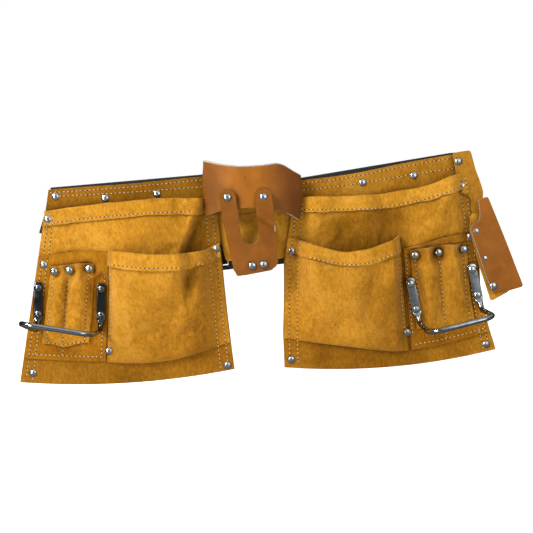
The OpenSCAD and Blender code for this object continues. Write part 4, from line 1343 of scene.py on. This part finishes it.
def centre_run():
    path = [(x, FRONT_RUN) for x in np.linspace(-BEND_IN, BEND_IN, 20)]
    heights = np.linspace(web_z("left", BEND_IN), web_z("right", BEND_IN), 20)
    fixed_strip("centre_webbing_run", "centre", "centre_webbing", path, heights)


def left_strap():
    path, heights = straight(-RUN_END, -(BAR_X + 58), BACK_RUN, "left", level_at)
    doubled = round_bar([(56, 0.2), (26, 0.3), (12, 3.3)], 7.5, [(12, -3.5), (26, -2.2), (46, -2.2)])
    path += [(-x, y) for x, y in doubled]
    heights += [level_at("left", x) for x, _ in doubled]
    fixed_strip("left_strap_webbing", "left_strap", "left_strap", path, heights)


def right_strap():
    path, heights = straight(RUN_END, BAR_X + 52, BACK_RUN, "right", level_at)
    fixed_strip("right_strap_webbing", "right_strap", "right_strap", path, heights)
    path = round_bar([(72, 2.3), (26, 2.3), (12, BAR_R)], BAR_R, [(8, -2.5), (15, 0)])
    fixed_strip("strap_tail_webbing", "tail", "strap_tail", path, [level_at("right", x) for x, _ in path])


centre_run()
for side in ("left", "right"):
    web_side(side)
left_strap()
right_strap()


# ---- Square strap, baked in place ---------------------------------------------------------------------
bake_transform(strap)


# ---- Hammer loops -------------------------------------------------------------------------------------
HALF_SPAN = 36  # from the loop's middle to each of its ends
ROD = 6
CORNER = 15  # bend of the rod's front corners
BAR_Y, BAR_Z = -58, -32


def loop_spine(rise, splay, twist):
    """The rod's middle line and section, (x, y, z, width, thickness), from one flat end to the other."""
    end = [(-1.3, 22, 3.0, 1.2), (-1.3, 21.4, 6.4, 2.2), (-1.3, 20.4, 8.8, 2.5)]
    end += [(-1.3, 22 - k, 10.4, 2.6) for k in (3.2, 5.5, 12, 20, 28, 34, 39)]
    end += [(-1.8, -20, 9.4, 3.2), (-2.5, -22, 7.4, 4.6), (-3.0, -24, ROD, ROD)]
    for t in np.linspace(0.2, math.pi / 2, 8):
        end.append((-3 - 8 * (1 - math.cos(t)), -24 - 8 * math.sin(t), ROD, ROD))
    end += [(y, BAR_Z, ROD, ROD) for y in (-20, -30, BAR_Y + CORNER)]
    half = [(HALF_SPAN, *point) for point in end]
    for t in np.linspace(0.15, math.pi / 2, 11):
        x = HALF_SPAN - CORNER * (1 - math.cos(t))
        half.append((x, BAR_Y + CORNER - CORNER * math.sin(t), BAR_Z, ROD, ROD))
    half = np.array(half + [(x, BAR_Y, BAR_Z, ROD, ROD) for x in (12, 0)], float)
    spine = np.vstack([half, half[-2::-1] * [-1, 1, 1, 1, 1]])
    forward = ease(-spine[:, 1], 6, -BAR_Y)
    share = spine[:, 0] / HALF_SPAN
    spine[:, 2] += (rise + twist * share) * forward
    spine[:, 0] += splay * forward * np.clip(share, 0, 1)
    return spine


def swept(spine, sides=20):
    """Rings of a rounded section carried along a spine without twisting."""
    turns = np.arange(sides) * 2 * math.pi / sides
    across = np.array([1.0, 0, 0])
    verts = []
    for (x, y, z, width, thick), ahead in zip(spine, unit(np.gradient(spine[:, :3], axis=0))):
        across = unit(across - ahead * np.dot(across, ahead))
        through = np.cross(ahead, across)
        power = 2 + 3 * min(1, (width - thick) / 6)
        for turn in turns:
            c, e = math.cos(turn), math.sin(turn)
            u = math.copysign(abs(c) ** (2 / power), c) * width / 2
            v = math.copysign(abs(e) ** (2 / power), e) * thick / 2
            verts.append(np.array([x, y, z]) + across * u + through * v)
    caps = [tuple(range(sides)), tuple(range(len(verts) - sides, len(verts)))]
    return np.array(verts), tube_faces(len(spine), sides) + caps


LOOP_ROLL = math.radians(7)


def hammer_loop(side):
    """One bent rod, its two ends hammered flat and riveted."""
    spots = islands_of(side + "_loop_rivets")
    middle = np.mean([(low + high) / 2 for low, high in spots], axis=0)
    seat = vertices_of(side + "_hammer_loop")[:, 1].max()
    sign = -1 if side == "left" else 1
    bent = loop_spine(7, 8, 5.5) if side == "left" else loop_spine(-3, 1, 1)
    verts, faces = swept(bent)
    x, z = rotated(verts[:, 0], verts[:, 2], LOOP_ROLL)
    turned = np.stack([sign * x, verts[:, 1], z], 1) + [middle[0], seat, middle[2]]
    piece = new_piece(side + "_hammer_loop_rod", turned, faces, [CHROME], crisp=55)
    # Painted shade: the left rod darkens towards its flat ends by the pouch.
    toned(piece, 0.9 * ease(verts[:, 1], -14, -6) if side == "left" else 0)
    finish_piece(piece, side + "_pouch", "chrome_wire", side + "_hammer_loop")


for side in ("left", "right"):
    hammer_loop(side)


# ---- Moulded buckle -----------------------------------------------------------------------------------
for name in ("buckle_housing", "buckle_insert", "upper_prong", "lower_prong", "strap_keeper"):
    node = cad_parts[name]
    node.data.materials.clear()
    node.data.materials.append(PLASTIC)
    bevelled(node, 0.6)


# ---- Camera, light and floor --------------------------------------------------------------------------
def surroundings(world):
    """Plain white to the camera; metal sees a darker room with a bright ceiling."""
    s = Sky(world)
    east, _, up = s.node("SeparateXYZ", Vector=s.place).outputs
    bands = s.node("ValToRGB", Fac=up)
    stops = bands.color_ramp.elements
    stops[0].position, stops[0].color = 0.02, rgb(0.05, 0.05, 0.055)
    stops[1].position, stops[1].color = 0.55, rgb(1, 1, 1)
    stops.new(0.22).color = rgb(0.16, 0.16, 0.17)
    shaded = s.node("VectorMath")
    shaded.operation = "SCALE"
    s.put(shaded.inputs[0], bands.outputs["Color"])
    s.put(shaded.inputs["Scale"], s.range(east, -0.26, -0.06, 0.10, 1.0))
    ray = s.node("LightPath").outputs
    s.set(
        Color=s.mix(ray["Is Glossy Ray"], rgb(1, 1, 1), shaded.outputs["Vector"]),
        Strength=s.range(ray["Is Camera Ray"], 0, 1, 0.50, 1.0))


def stage_and_light():
    """White surroundings, a floor that glows to the camera but not to metal, and four soft lamps."""
    scene = bpy.context.scene
    scene.view_settings.view_transform = "Standard"
    world = bpy.data.worlds.new("studio")
    scene.world = world
    surroundings(world)

    floor_gap = 0.03
    bpy.ops.mesh.primitive_plane_add(size=12, location=(0, 0, cad_box[0][2] - floor_gap))
    floor = bpy.context.object
    floor.name = "floor"
    paint = Shade("floor_paint")
    ray = paint.node("LightPath").outputs["Is Glossy Ray"]
    paint.set(Base_Color=paint.mix(ray, rgb(0.9, 0.9, 0.895), rgb(0.10, 0.10, 0.10)), Roughness=0.9)
    paint.set(Emission_Color=rgb(1, 1, 1), Emission_Strength=paint.range(ray, 0, 1, 0.60, 0))
    floor.data.materials.append(paint.material)

    def panel(name, place, aim, size, power):
        light = bpy.data.lights.new(name, "AREA")
        light.energy = power
        light.size = size
        lamp = bpy.data.objects.new(name, light)
        lamp.location = place
        lamp.rotation_euler = (Vector(aim) - Vector(place)).to_track_quat("-Z", "Y").to_euler()
        scene.collection.objects.link(lamp)

    middle = in_frame(0, 0, -90)
    panel("key", (-1.15, -1.0, 1.05), middle, 0.5, 34)
    panel("window", (-1.05, -1.4, 0.1), middle, 0.35, 5)
    panel("fill", (0.9, -1.5, 0.3), middle, 1.0, 5)
    panel("rim", (0.2, 1.2, 0.9), middle, 0.9, 7)


def camera():
    """The photo's view: nearly level, from the front, the picture turned a little."""
    view_distance = 1.0
    frame_width = 0.613  # what the picture spans at the belt
    tilt = math.radians(5.85)
    target = in_frame(7, 0, -94)
    lens = bpy.data.cameras.new("camera")
    lens.angle = 2 * math.atan(frame_width / 2 / view_distance)
    eye = bpy.data.objects.new("camera", lens)
    elevation = math.radians(3.0)
    back = Vector((0, -math.cos(elevation), math.sin(elevation)))
    eye.location = target + back * view_distance
    eye.rotation_euler = (
        (-back).to_track_quat("-Z", "Y").to_matrix() @ Matrix.Rotation(-tilt, 3, "Z")
    ).to_euler()
    bpy.context.scene.collection.objects.link(eye)
    bpy.context.scene.camera = eye


stage_and_light()
camera()
